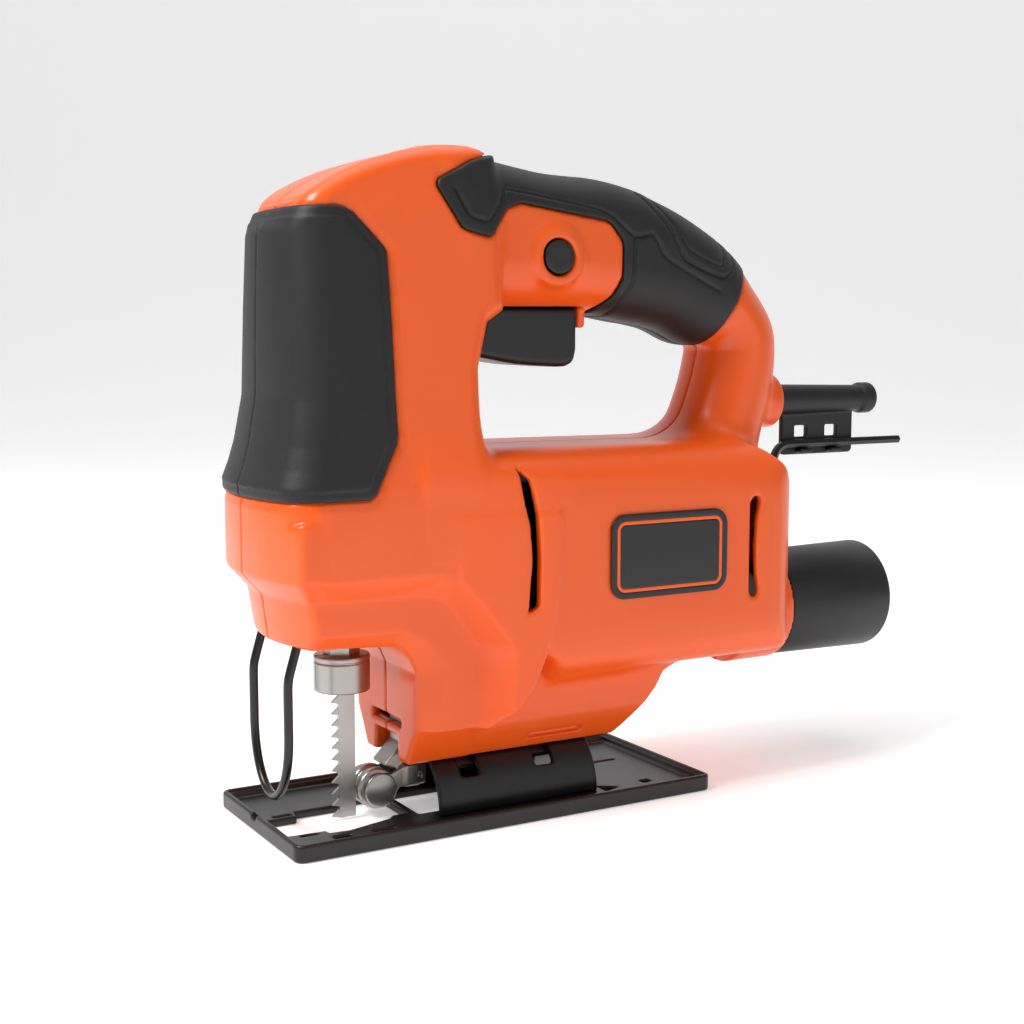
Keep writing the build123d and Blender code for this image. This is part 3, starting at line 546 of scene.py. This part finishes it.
gripGrooves = [
    (smoothLine([(15.6, 184.2), (12.4, 178.0), (10.9, 176.6), (7.0, 175.6), (5.4, 176.0), (0.6, 181.4), (-0.9, 184.4),
                 (-3.0, 185.2), (-20.0, 183.1), (-36.5, 180.3), (-44.0, 175.4), (-48.0, 173.2), (-54.5, 174.2)], 3),
     0.5, 0.8),
    ([(-47.5, 173.0), (-47.0, 160.0), (-44.2, 151.0), (-42.0, 146.5)], 0.5, 0.8),
    (smoothLine([(-53.0, 186.6), (-58.0, 180.0), (-62.3, 174.6), (-65.4, 168.9), (-68.5, 166.0), (-80.4, 161.8),
                 (-84.4, 162.0), (-87.6, 164.6), (-90.5, 172.5)], 3), 0.55, 0.9),
    (smoothLine([(-58.5, 184.6), (-61.5, 180.2), (-64.5, 176.2), (-66.8, 172.4), (-69.6, 169.4), (-80.6, 165.2),
                 (-83.0, 165.8), (-84.4, 168.4), (-86.0, 174.0)], 3), 0.5, 0.7),
    (smoothLine([(-53.8, 174.0), (-56.4, 171.5), (-60.4, 166.6), (-80.9, 157.3)], 3), 0.5, 0.6),
]


def buildHousing():
    for left in (True, False):
        word = "left" if left else "right"
        sign = 1 if left else -1
        shell = fieldObject(word + "Shell", lambda x, y, z: housingHalf(x, y, z, left), (-117, 0, 16.5),
                            (76, 36.5, 199), 0.8, "orange", 0.42, not left)
        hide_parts(word + "_housing")
        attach(shell, "housing")
        pad = fieldObject(word + "FrontPad", lambda x, y, z: frontPad(x, y, z), (34, 0, 96), (76, 32, 180), 0.6,
                          "grip", 0.6, not left)
        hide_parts(word + "_front_pad")
        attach(pad, "housing")
        grip = fieldObject(word + "GripPad", lambda x, y, z: gripPad(x, y, z, left), (-101, 0, 138),
                           (23, 25, 198), 0.6, "grip", 0.6, not left)
        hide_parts(word + "_grip_pad")
        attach(grip, "housing")


def frontPad(x, y, z):
    form = housingForm(x, y, z)
    region = outlineField(x, z, padOutline) + 0.25
    skin = roundCut(form - 0.5, region, 0.8)
    inner = outlineField(x, z, padOutline) + 3.2
    skin = np.minimum(skin, roundCut(form - 1.0, inner, 0.45))
    skin = np.maximum(skin, -(form + 1.1))
    return softMax(skin, 0.06 - y, 0.5)


def gripPad(x, y, z, left):
    form = housingForm(x, y, z)
    skin = skinField(gripPadOutline, gripGrooves, 0.25, form, x, z)
    if not left:
        for px, pz in screwPoints:
            skin = softMax(skin, -rodField(x, y, z, "Y", (px, pz), 3.7, 14, 40), 0.6)
    return softMax(skin, 0.06 - y, 0.5)


buildHousing()
print("housing made")


def placeNode(obj, node, body):
    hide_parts(node)
    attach(obj, body)
    return obj


# turns a profile of (along, radius) around an axis
def lathe(name, profile, axis, centre, look, turns=96):
    points = []
    count = len(profile)
    for step in range(turns):
        angle = 2 * math.pi * step / turns
        for along, radius in profile:
            a, b = radius * math.cos(angle), radius * math.sin(angle)
            if axis == "X":
                points.append((along, centre[0] + a, centre[1] + b))
            elif axis == "Y":
                points.append((centre[0] + b, along, centre[1] + a))
            else:
                points.append((centre[0] + a, centre[1] + b, along))
    faces = []
    for step in range(turns):
        after = (step + 1) % turns
        for i in range(count):
            j = (i + 1) % count
            faces.append((step * count + i, step * count + j, after * count + j, after * count + i))
    return meshObject(name, points, faces, look)


# closed turned piece; profile goes once round the section, ends on the axis are capped
def turned(name, profile, axis, centre, look, turns=96):
    obj = lathe(name, profile, axis, centre, look, turns)
    work = bmesh.new()
    work.from_mesh(obj.data)
    bmesh.ops.remove_doubles(work, verts=work.verts, dist=0.00001)
    bmesh.ops.dissolve_degenerate(work, edges=work.edges, dist=0.000005)
    bmesh.ops.recalc_face_normals(work, faces=work.faces)
    work.to_mesh(obj.data)
    work.free()
    obj.data.polygons.foreach_set("use_smooth", np.ones(len(obj.data.polygons), bool))
    return obj


def arcPoints(centre, r, start, end, steps=6):
    out = []
    for step in range(steps + 1):
        angle = math.radians(start + (end - start) * step / steps)
        out.append((centre[0] + r * math.cos(angle), centre[1] + r * math.sin(angle)))
    return out


# shoe and saddle
shoeOpening = [(66.0, -2.6), (66.0, 13.0), (54.5, 13.8), (54.2, 16.0), (48.5, 16.6), (34.0, 12.6), (32.2, 10.4),
               (27.2, 10.4), (27.2, -10.2), (40.5, -10.2), (41.5, -6.6), (56.0, -6.6), (56.8, -2.6)]
shoeSlots = [(57.5, 63.0, 14.6, 16.0), (49.5, 55.0, 20.0, 22.3), (36.0, 43.0, 20.6, 22.0), (57.5, 63.5, -5.6, -4.2),
             (-58.5, -49.5, -7.6, -6.4), (-54.6, -51.4, 17.6, 20.2), (-27.0, -20.0, -26.0, -24.6)]


def shoeField(x, y, z):
    outer = roundCut(boxField(x, y, 0 * z, (-70.3, -31, -9), (70.3, 31, 9), 3.0), np.abs(z - 2.55) - 2.55, 0.7)
    tray = boxField(x, y, z, (-67.8, -28.5, 2.5), (67.8, 28.5, 12), 1.2)
    step = boxField(x, y, z, (-68.6, -29.3, 4.2), (68.6, 29.3, 12), 0.5)
    shoe = softMax(softMax(outer, -tray, 0.7), -step, 0.5)
    shoe = softMax(shoe, -roundCut(outlineField(x, y, shoeOpening), np.abs(z) - 9, 0.2), 0.7)
    shoe = softMax(shoe, -boxField(x, y, z, (6.6, -9.8, -3), (24.3, 13.1, 6), 0.4), 0.7)
    for x0, x1, y0, y1 in shoeSlots:
        shoe = softMax(shoe, -boxField(x, y, z, (x0, y0, -3), (x1, y1, 6), 0.3), 0.5)
    notch = outlineField(x, y, [(-36.3, 22.0), (-42.0, 20.0), (-36.3, 16.5)])
    shoe = softMax(shoe, -np.maximum(notch, np.abs(z) - 9), 0.5)
    return softMax(shoe, -boxField(x, y, z, (68.0, -4.5, 3.6), (73, -1.0, 9), 0.3), 0.4)


def saddleField(x, y, z):
    radial = np.sqrt(y ** 2 + (z - 2.5) ** 2)
    angle = np.degrees(np.arctan2(z - 2.5, y))
    pipe = roundCut(np.abs(radial - 18.9) - 1.1, np.abs(x + 6.9) - 27.4, 0.6)
    pipe = np.maximum(pipe, 2.5 - z)
    sector = (np.abs(angle - 90) - 59) * 0.34
    for middle in (8.85, -16.75):
        pipe = softMax(pipe, -roundCut(sector + 0 * x, np.abs(x - middle) - 3.25, 1.2), 0.8)
    return pipe


placeNode(fieldObject("shoePlate", shoeField, (-71, -31.5, -0.2), (71, 31.5, 5.4), 0.42, "shoePaint", 0.35),
          "shoe", "base")
placeNode(fieldObject("saddlePipe", saddleField, (-34.6, -20.2, 2.2), (20.8, 20.2, 22.7), 0.45, "shoePaint", 0.5),
          "bevel_saddle", "base")


# roller, bracket and clamp
armOutline = smoothLine([(36.6, 5.6), (37.7, 9.0), (36.0, 12.4), (33.0, 13.6), (29.6, 13.4)], 3) + [
    (25.6, 15.2), (20.9, 15.2), (20.9, 8.9), (27.0, 9.0)] + smoothLine([(28.4, 7.2), (30.8, 5.0), (33.5, 4.3)], 3)


def bracketField(x, y, z):
    side = np.abs(y)
    arm = roundCut(outlineField(x, z, armOutline), np.abs(side - 5.1) - 0.7, 0.4)
    bridge = boxField(x, y, z, (18.3, -5.8, 8.9), (25.2, 5.8, 15.3), 0.7)
    strut = outlineField(x, z, [(20.9, 14.0), (25.2, 14.0), (31.6, 15.2), (31.2, 16.4), (25.6, 22.0), (25.6, 33.0),
                                (20.9, 33.0)])
    strut = roundCut(strut, side - 4.4, 0.5)
    strut = softMax(strut, 7.0 - np.sqrt((x - 33.5) ** 2 + (z - 9) ** 2), 0.5)
    both = softMin(softMin(arm, bridge, 1.2), strut, 1.0)
    both = softMax(both, -rodField(x, y, z, "Y", (20.9, 11.6), 1.0, 4.6, 9), 0.3)
    return softMax(both, -boxField(x, y, z, (17, -2.2, 12.2), (20.2, 2.2, 17), 0.4), 0.5)


placeNode(fieldObject("rollerFork", bracketField, (17.8, -6.2, 3.8), (38.2, 6.2, 33.4), 0.28, "cast", 0.5),
          "roller_bracket", "housing")
wheel = [(-4, 2.06), (-4, 5.6), (-3.5, 6.15), (-1.6, 6.15), (-1.1, 5.7), (-0.9, 5.3), (0.9, 5.3), (1.1, 5.7),
         (1.6, 6.15), (3.5, 6.15), (4, 5.6), (4, 2.06)]
placeNode(turned("guideWheel", wheel, "Y", (33.5, 9.0), "steel"), "roller", "guide_roller")
axle = [(-6.7, 0.001), (-6.7, 4.7), (-6.5, 5.1), (-6.2, 5.2), (-5.85, 5.1), (-5.85, 1.98), (5.85, 1.98), (5.85, 5.1),
        (6.2, 5.2), (6.5, 5.1), (6.7, 4.7), (6.7, 0.001)]
placeNode(turned("wheelPin", axle, "Y", (33.5, 9.0), "steel"), "roller_axle", "housing")


def clampField(x, y, z):
    body = rodField(x, y, z, "Z", (43, 0), 8.35, 39.55, 50.45, 0.6)
    body = softMax(body, -boxField(x, y, z, (39.1, -0.7, 38), (46.6, 0.7, 47.2), 0.05), 0.2)
    body = softMax(body, -boxField(x, y, z, (46.2, -0.35, 38), (53, 0.35, 52), 0.1), 0.3)
    body = softMax(body, -rodField(x, y, z, "Z", (43, 0), 3.1, 47.2, 53, 0.1), 0.2)
    body = softMax(body, -rodField(x, y, z, "Y", (43, 44.5), 2.1, -12, -0.5, 0.1), 0.3)
    shade = np.sqrt((x - 43) ** 2 + y ** 2)
    return softMax(body, -roundCut(np.abs(z - 48.6) - 0.25, 8.1 - shade, 0.1), 0.2)


placeNode(fieldObject("bladeCollar", clampField, (34.4, -8.6, 39.3), (51.6, 8.6, 50.7), 0.25, "steel", 0.5),
          "blade_clamp", "blade_rod")


# controls
paddleOutline = [(4.6, 134.2), (3.6, 138.6), (1.2, 144.0), (-0.2, 149.0), (-0.4, 152.0), (-33.0, 152.0),
                 (-33.0, 139.2)] + smoothLine([(-32.8, 138.0), (-31.8, 135.2), (-29.2, 133.8)], 4) + smoothLine(
    [(-26.0, 133.7), (-12.0, 134.6), (0.0, 136.6), (1.8, 136.6), (3.4, 135.2)], 3)


def paddleField(x, y, z):
    body = roundCut(outlineField(x, z, paddleOutline), np.abs(y) - 9.35, 2.2)
    return body


placeNode(fieldObject("triggerPaddle", paddleField, (-33.4, -9.7, 133.2), (5, 9.7, 152.3), 0.45, "black", 0.6),
          "trigger", "trigger")
knob = [(12, 0.001), (12, 5.0), (20.6, 5.05)] + [(21.6 - 0.9 + 0.9 * math.sin(a), 4.2 + 0.85 * math.cos(a)) for a in
                                                 (0.3, 0.7, 1.1, 1.5)] + [(21.5, 2.6), (21.3, 0.001)]
placeNode(turned("lockKnob", knob, "Y", (-19.0, 166.2), "black"), "lock_button", "lock_on")


# rear fittings
spoutLine = [(-101.6, 15.6), (-116.0, 15.6), (-116.1, 16.5), (-156.3, 16.6), (-156.9, 17.2), (-156.9, 18.0),
             (-156.5, 18.5), (-155.8, 18.7), (-114.6, 18.0), (-114.2, 17.8), (-113.9, 17.1), (-101.6, 17.1)]
placeNode(turned("dustSpout", spoutLine, "X", (0, 52.0), "black", 128), "dust_adaptor", "dust_tube")


def sleeveField(x, y, z):
    radial = np.sqrt(y ** 2 + (z - cordHeight) ** 2)
    taper = radial - np.interp(x, [-156, -116], [4.5, 5.3])
    sleeve = roundCut(taper + 0 * x, np.abs(x + 135.8) - 20.0, 0.4)
    ring = roundCut(radial - 5.4, np.abs(x + 158.1) - 2.65, 0.9)
    root = roundCut(radial - 7.3, np.abs(x + 107.85) - 2.3, 0.3)
    neck = roundCut(radial - 5.2, np.abs(x + 113) - 3.6, 0.1)
    web = roundCut(boxField(x, 0 * y, z, (-153.0, -9, 102.5), (-121.2, 9, 119), 1.6), np.abs(y) - 1.0, 0.3)
    body = softMin(softMin(sleeve, ring, 1.0), softMin(softMin(root, neck, 0.5), web, 0.8), 0.6)
    for x0, x1 in ((-132.2, -126.9), (-145.8, -140.5)):
        body = softMax(body, -boxField(x, y, z, (x0, -3, 108.6), (x1, 3, 112.5), 0.5), 0.4)
        body = softMin(body, boxField(x, y, z, (x0, 0.6, 103.2), (x1, 4.5, 104.6), 0.4), 0.5)
    return softMax(body, 3.3 - radial, 0.4)


placeNode(fieldObject("cordSleeve", sleeveField, (-161.2, -7.6, 102.2), (-105.2, 7.6, 129.2), 0.4, "smoothRubber", 0.6),
          "strain_relief", "housing")


# pieces that follow a rule, made with geometry nodes
def nodeTree(name, inputs):
    tree = bpy.data.node_groups.new(name, "GeometryNodeTree")
    tree.interface.new_socket("Geometry", in_out="OUTPUT", socket_type="NodeSocketGeometry")
    for label, kind, value in inputs:
        socket = tree.interface.new_socket(label, in_out="INPUT", socket_type=kind)
        if value is not None:
            socket.default_value = value
    start = tree.nodes.new("NodeGroupInput")
    end = tree.nodes.new("NodeGroupOutput")
    return tree, start, end


def endTree(tree, end, geometry, look):
    real = addNode(tree, "GeometryNodeRealizeInstances", None, {0: geometry})
    painted = addNode(tree, "GeometryNodeSetMaterial", None, {0: real.outputs[0]})
    painted.inputs["Material"].default_value = looks[look]
    tree.links.new(painted.outputs[0], end.inputs[0])


def growObject(name, tree, smooth=40):
    holder = bpy.data.objects.new(name, bpy.data.meshes.new(name + "Base"))
    bpy.context.scene.collection.objects.link(holder)
    holder.modifiers.new("grow", "NODES").node_group = tree
    graph = bpy.context.evaluated_depsgraph_get()
    mesh = bpy.data.meshes.new_from_object(holder.evaluated_get(graph), depsgraph=graph)
    holder.modifiers.clear()
    holder.data = mesh
    mesh.name = name
    mesh.polygons.foreach_set("use_smooth", np.ones(len(mesh.polygons), bool))
    if smooth:
        mesh.set_sharp_from_angle(angle=math.radians(smooth))
    return holder


# a bar swept along a line of points; its radius and number of sides are the tree's inputs
def wirePiece(name, path, radius, look, sides=20):
    tree, start, end = nodeTree(name + "Tree", [("Radius", "NodeSocketFloat", radius * mm),
                                                ("Sides", "NodeSocketInt", sides)])
    count = len(path)
    spline = bpy.data.curves.new(name + "Path", "CURVE")
    spline.dimensions = "3D"
    row = spline.splines.new("POLY")
    row.points.add(count - 1)
    for point, place in zip(row.points, path):
        point.co = (*[c * mm for c in place], 1)
    guide = bpy.data.objects.new(name + "Guide", spline)
    bpy.context.scene.collection.objects.link(guide)
    info = addNode(tree, "GeometryNodeObjectInfo", {"transform_space": "ORIGINAL"})
    info.inputs["Object"].default_value = guide
    circle = addNode(tree, "GeometryNodeCurvePrimitiveCircle", None,
                     {"Resolution": start.outputs["Sides"], "Radius": start.outputs["Radius"]})
    swept = addNode(tree, "GeometryNodeCurveToMesh", {"in:Fill Caps": True},
                    {"Curve": info.outputs["Geometry"], "Profile Curve": circle.outputs["Curve"]})
    endTree(tree, end, swept.outputs[0], look)
    piece = growObject(name, tree, 50)
    bpy.data.objects.remove(guide)
    return piece


guard = {"wireRadius": 1.33, "x": 65.3, "halfWidth": 13.5, "bendHeight": 31, "drop": 20, "steps": 32}
guardPath = [(61.6, -13.5, 59.4), (64.4, -13.5, 50.0), (64.95, -13.5, 48.0), (65.2, -13.5, 46.4), (65.3, -13.5, 44.5)]
for stepIndex in range(guard["steps"] + 1):
    turnAngle = math.pi + math.pi * stepIndex / guard["steps"]
    guardPath.append((guard["x"], guard["halfWidth"] * math.cos(turnAngle),
                      guard["bendHeight"] + guard["drop"] * math.sin(turnAngle)))
guardPath += [(x, 13.5, z) for x, y, z in guardPath[4::-1]]
placeNode(wirePiece("fingerGuard", guardPath, guard["wireRadius"], "blackSteel"), "wire_guard", "housing")
key = {"radius": 1.45, "y": 2.85, "end": -173.0, "bendX": -122.2, "bend": 6, "height": 106.5, "low": 88.6, "steps": 12}
keyPath = [(key["end"], key["y"], key["height"]), (key["bendX"], key["y"], key["height"])]
for stepIndex in range(1, key["steps"] + 1):
    turnAngle = math.radians(90 - 90 * stepIndex / key["steps"])
    keyPath.append((key["bendX"] + key["bend"] * math.cos(turnAngle), key["y"],
                    100.5 + key["bend"] * math.sin(turnAngle)))
keyPath.append((-116.2, key["y"], key["low"]))
placeNode(wirePiece("hexKeyBar", keyPath, key["radius"], "blackSteel", 6), "hex_key", "key")


saw = {"root": 44.4, "pitch": 3.45, "teeth": 11, "firstTooth": 1.9}


def bladeTree():
    tree, start, end = nodeTree("bladeTree", [
        ("Root", "NodeSocketFloat", saw["root"] * mm), ("Pitch", "NodeSocketFloat", saw["pitch"] * mm),
        ("Teeth", "NodeSocketInt", saw["teeth"]), ("First Tooth", "NodeSocketFloat", saw["firstTooth"] * mm)])
    plate = addNode(tree, "GeometryNodeMeshCube", {"in:Size": (5.2 * mm, 1.2 * mm, 46.2 * mm)})
    placed = addNode(tree, "GeometryNodeTransform", {"in:Translation": (41.8 * mm, 0, 23.9 * mm)},
                     {0: plate.outputs["Mesh"]})
    tooth = addNode(tree, "GeometryNodeMeshCylinder", {"in:Vertices": 3, "in:Radius": 1.95 * mm, "in:Depth": 1.16 * mm})
    lying = addNode(tree, "GeometryNodeTransform", {"in:Rotation": (math.radians(90), math.radians(14), 0),
                                                    "in:Scale": (1.15, 1.0, 0.9)}, {0: tooth.outputs["Mesh"]})
    step = addNode(tree, "ShaderNodeCombineXYZ", None, {"Z": start.outputs["Pitch"]})
    first = addNode(tree, "ShaderNodeCombineXYZ", None, {"X": start.outputs["Root"], "Z": start.outputs["First Tooth"]})
    row = addNode(tree, "GeometryNodeMeshLine", None, {"Count": start.outputs["Teeth"],
                                                       "Start Location": first.outputs[0], "Offset": step.outputs[0]})
    teeth = addNode(tree, "GeometryNodeInstanceOnPoints", None,
                    {"Points": row.outputs[0], "Instance": lying.outputs[0]})
    both = addNode(tree, "GeometryNodeJoinGeometry")
    tree.links.new(teeth.outputs[0], both.inputs[0])
    tree.links.new(placed.outputs[0], both.inputs[0])
    endTree(tree, end, both.outputs[0], "blade")
    return tree


placeNode(growObject("sawBlade", bladeTree(), 25), "blade", "blade_rod")


screw = {"headRadius": 3.3, "headDepth": 2.8, "length": 24}


def screwTree():
    tree, start, end = nodeTree("screwTree", [("Head Radius", "NodeSocketFloat", screw["headRadius"] * mm),
                                              ("Seed", "NodeSocketInt", 3)])
    head = addNode(tree, "GeometryNodeMeshCylinder", {"in:Vertices": 40, "in:Depth": screw["headDepth"] * mm},
                   {"Radius": start.outputs["Head Radius"]})
    drive = addNode(tree, "GeometryNodeMeshCylinder", {"in:Vertices": 6, "in:Radius": 1.7 * mm, "in:Depth": 2.0 * mm})
    sunk = addNode(tree, "GeometryNodeTransform", {"in:Translation": (0, 0, 1.2 * mm)}, {0: drive.outputs["Mesh"]})
    cut = addNode(tree, "GeometryNodeMeshBoolean", {"operation": "DIFFERENCE"}, {"Mesh 1": head.outputs["Mesh"]})
    tree.links.new(sunk.outputs[0], cut.inputs["Mesh 2"])
    shank = addNode(tree, "GeometryNodeMeshCylinder",
                    {"in:Vertices": 24, "in:Radius": 1.4 * mm, "in:Depth": screw["length"] * mm})
    below = addNode(tree, "GeometryNodeTransform", {"in:Translation": (0, 0, -13.3 * mm)}, {0: shank.outputs["Mesh"]})
    whole = addNode(tree, "GeometryNodeJoinGeometry")
    tree.links.new(cut.outputs["Mesh"], whole.inputs[0])
    tree.links.new(below.outputs[0], whole.inputs[0])
    turned90 = addNode(tree, "GeometryNodeTransform", {"in:Rotation": (math.radians(90), 0, 0)}, {0: whole.outputs[0]})
    places = addNode(tree, "GeometryNodeJoinGeometry")
    for x, z in screwPoints:
        dot = addNode(tree, "GeometryNodeMeshLine", {"in:Count": 1, "in:Start Location": (x * mm, -15.6 * mm, z * mm)})
        tree.links.new(dot.outputs[0], places.inputs[0])
    spin = addNode(tree, "FunctionNodeRandomValue", {"in:Max": 1.0}, {"Seed": start.outputs["Seed"]})
    spun = addNode(tree, "ShaderNodeCombineXYZ", None, {"Y": spin.outputs[1]})
    screws = addNode(tree, "GeometryNodeInstanceOnPoints", None, {"Points": places.outputs[0],
                                                                  "Instance": turned90.outputs[0],
                                                                  "Rotation": spun.outputs[0]})
    endTree(tree, end, screws.outputs[0], "blackSteel")
    return tree


placeNode(growObject("caseScrews", screwTree(), 40), "housing_screws", "housing")


# plain badge, no lettering
badge = {"low": (-71.5, -9, 65.0), "high": (-28.5, 9, 90.5), "corner": 5.0, "lineInset": 2.6}


def badgeField(x, y, z):
    plate = boxField(x, 0 * y, z, badge["low"], badge["high"], badge["corner"])
    line = np.abs(plate + badge["lineInset"]) - 0.6
    body = roundCut(plate, np.abs(y - 35.15) - 0.4, 0.25)
    return softMax(body, -np.maximum(line, 35.35 - y), 0.2)


def badgeLine(x, y, z):
    plate = boxField(x, 0 * y, z, badge["low"], badge["high"], badge["corner"])
    return roundCut(np.abs(plate + badge["lineInset"]) - 0.55, np.abs(y - 35.35) - 0.22, 0.1)


for left in (True, False):
    word = "left" if left else "right"
    plate = fieldObject(word + "Badge", badgeField, (-72, 34.6, 64.6), (-28, 35.8, 91), 0.25, "badge", 0.2, not left)
    placeNode(plate, word + "_badge", "housing")
    line = fieldObject(word + "BadgeLine", badgeLine, (-72, 34.9, 64.6), (-28, 35.8, 91), 0.22, "orange", 0.5, not left)
    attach(line, "housing")
print("small pieces made")


# floor, camera and light
def makeFloor():
    material, tree, shader, place = newMaterial("paper_sweep")
    shader.inputs["Base Color"].default_value = (0.9, 0.9, 0.9, 1)
    shader.inputs["Roughness"].default_value = 0.85
    shader.inputs["Emission Color"].default_value = (1, 1, 1, 1)
    shader.inputs["Emission Strength"].default_value = 0.35
    looks["paper"] = material
    profile = [(6000, 0), (-1500, 0)] + arcPoints((-1500, 1200), 1200, -90, -180, 24)[1:] + [(-2700, 6000)]
    points = []
    for along in (-6000, 6000):
        for back, up in profile:
            points.append((along, back, up - 0.05))
    count = len(profile)
    faces = [(i, i + 1, count + i + 1, count + i) for i in range(count - 1)]
    floor = meshObject("paperSweep", points, faces, "paper")
    turn = Matrix.Rotation(math.radians(-30), 4, "Z")
    floor.data.transform(turn)


def makeCamera():
    azimuth, height = math.radians(149.97), math.radians(6.54)
    back = Vector((math.sin(azimuth) * math.cos(height), -math.cos(azimuth) * math.cos(height), math.sin(height)))
    right = Vector((0, 0, 1)).cross(back).normalized()
    up = back.cross(right)
    camera = bpy.data.cameras.new("camera")
    camera.lens = 53.9
    camera.sensor_width = 36
    holder = bpy.data.objects.new("camera", camera)
    pose = Matrix((right, up, back)).transposed().to_4x4()
    pose.translation = Vector((221.55, 409.18, 143.04)) * mm
    holder.matrix_world = pose
    bpy.context.scene.collection.objects.link(holder)
    bpy.context.scene.camera = holder
    camera.clip_start = 0.01
    return right, up, back


def addLight(name, place, target, size, power, colour=(1, 1, 1)):
    lamp = bpy.data.lights.new(name, "AREA")
    lamp.shape = "RECTANGLE"
    lamp.size, lamp.size_y = size
    lamp.energy = power
    lamp.color = colour
    holder = bpy.data.objects.new(name, lamp)
    holder.location = place
    holder.rotation_euler = (Vector(target) - Vector(place)).to_track_quat("-Z", "Y").to_euler()
    bpy.context.scene.collection.objects.link(holder)


makeFloor()
right, up, back = makeCamera()
middle = Vector((-0.02, 0, 0.1))
addLight("keyPanel", middle + back * 0.55 - right * 0.7 + up * 0.8, middle, (0.4, 0.4), 12)
addLight("fillPanel", middle + back * 0.9 + right * 1.0 + up * 0.3, middle, (0.9, 0.9), 1.5)
addLight("topPanel", middle + Vector((0, -0.15, 1.1)), middle, (1.2, 0.8), 5)
world = bpy.data.worlds.new("studio")
world.use_nodes = True
world.node_tree.nodes["Background"].inputs[0].default_value = (1, 1, 1, 1)
world.node_tree.nodes["Background"].inputs[1].default_value = 0.3
bpy.context.scene.world = world
bpy.context.scene.view_settings.view_transform = "Standard"
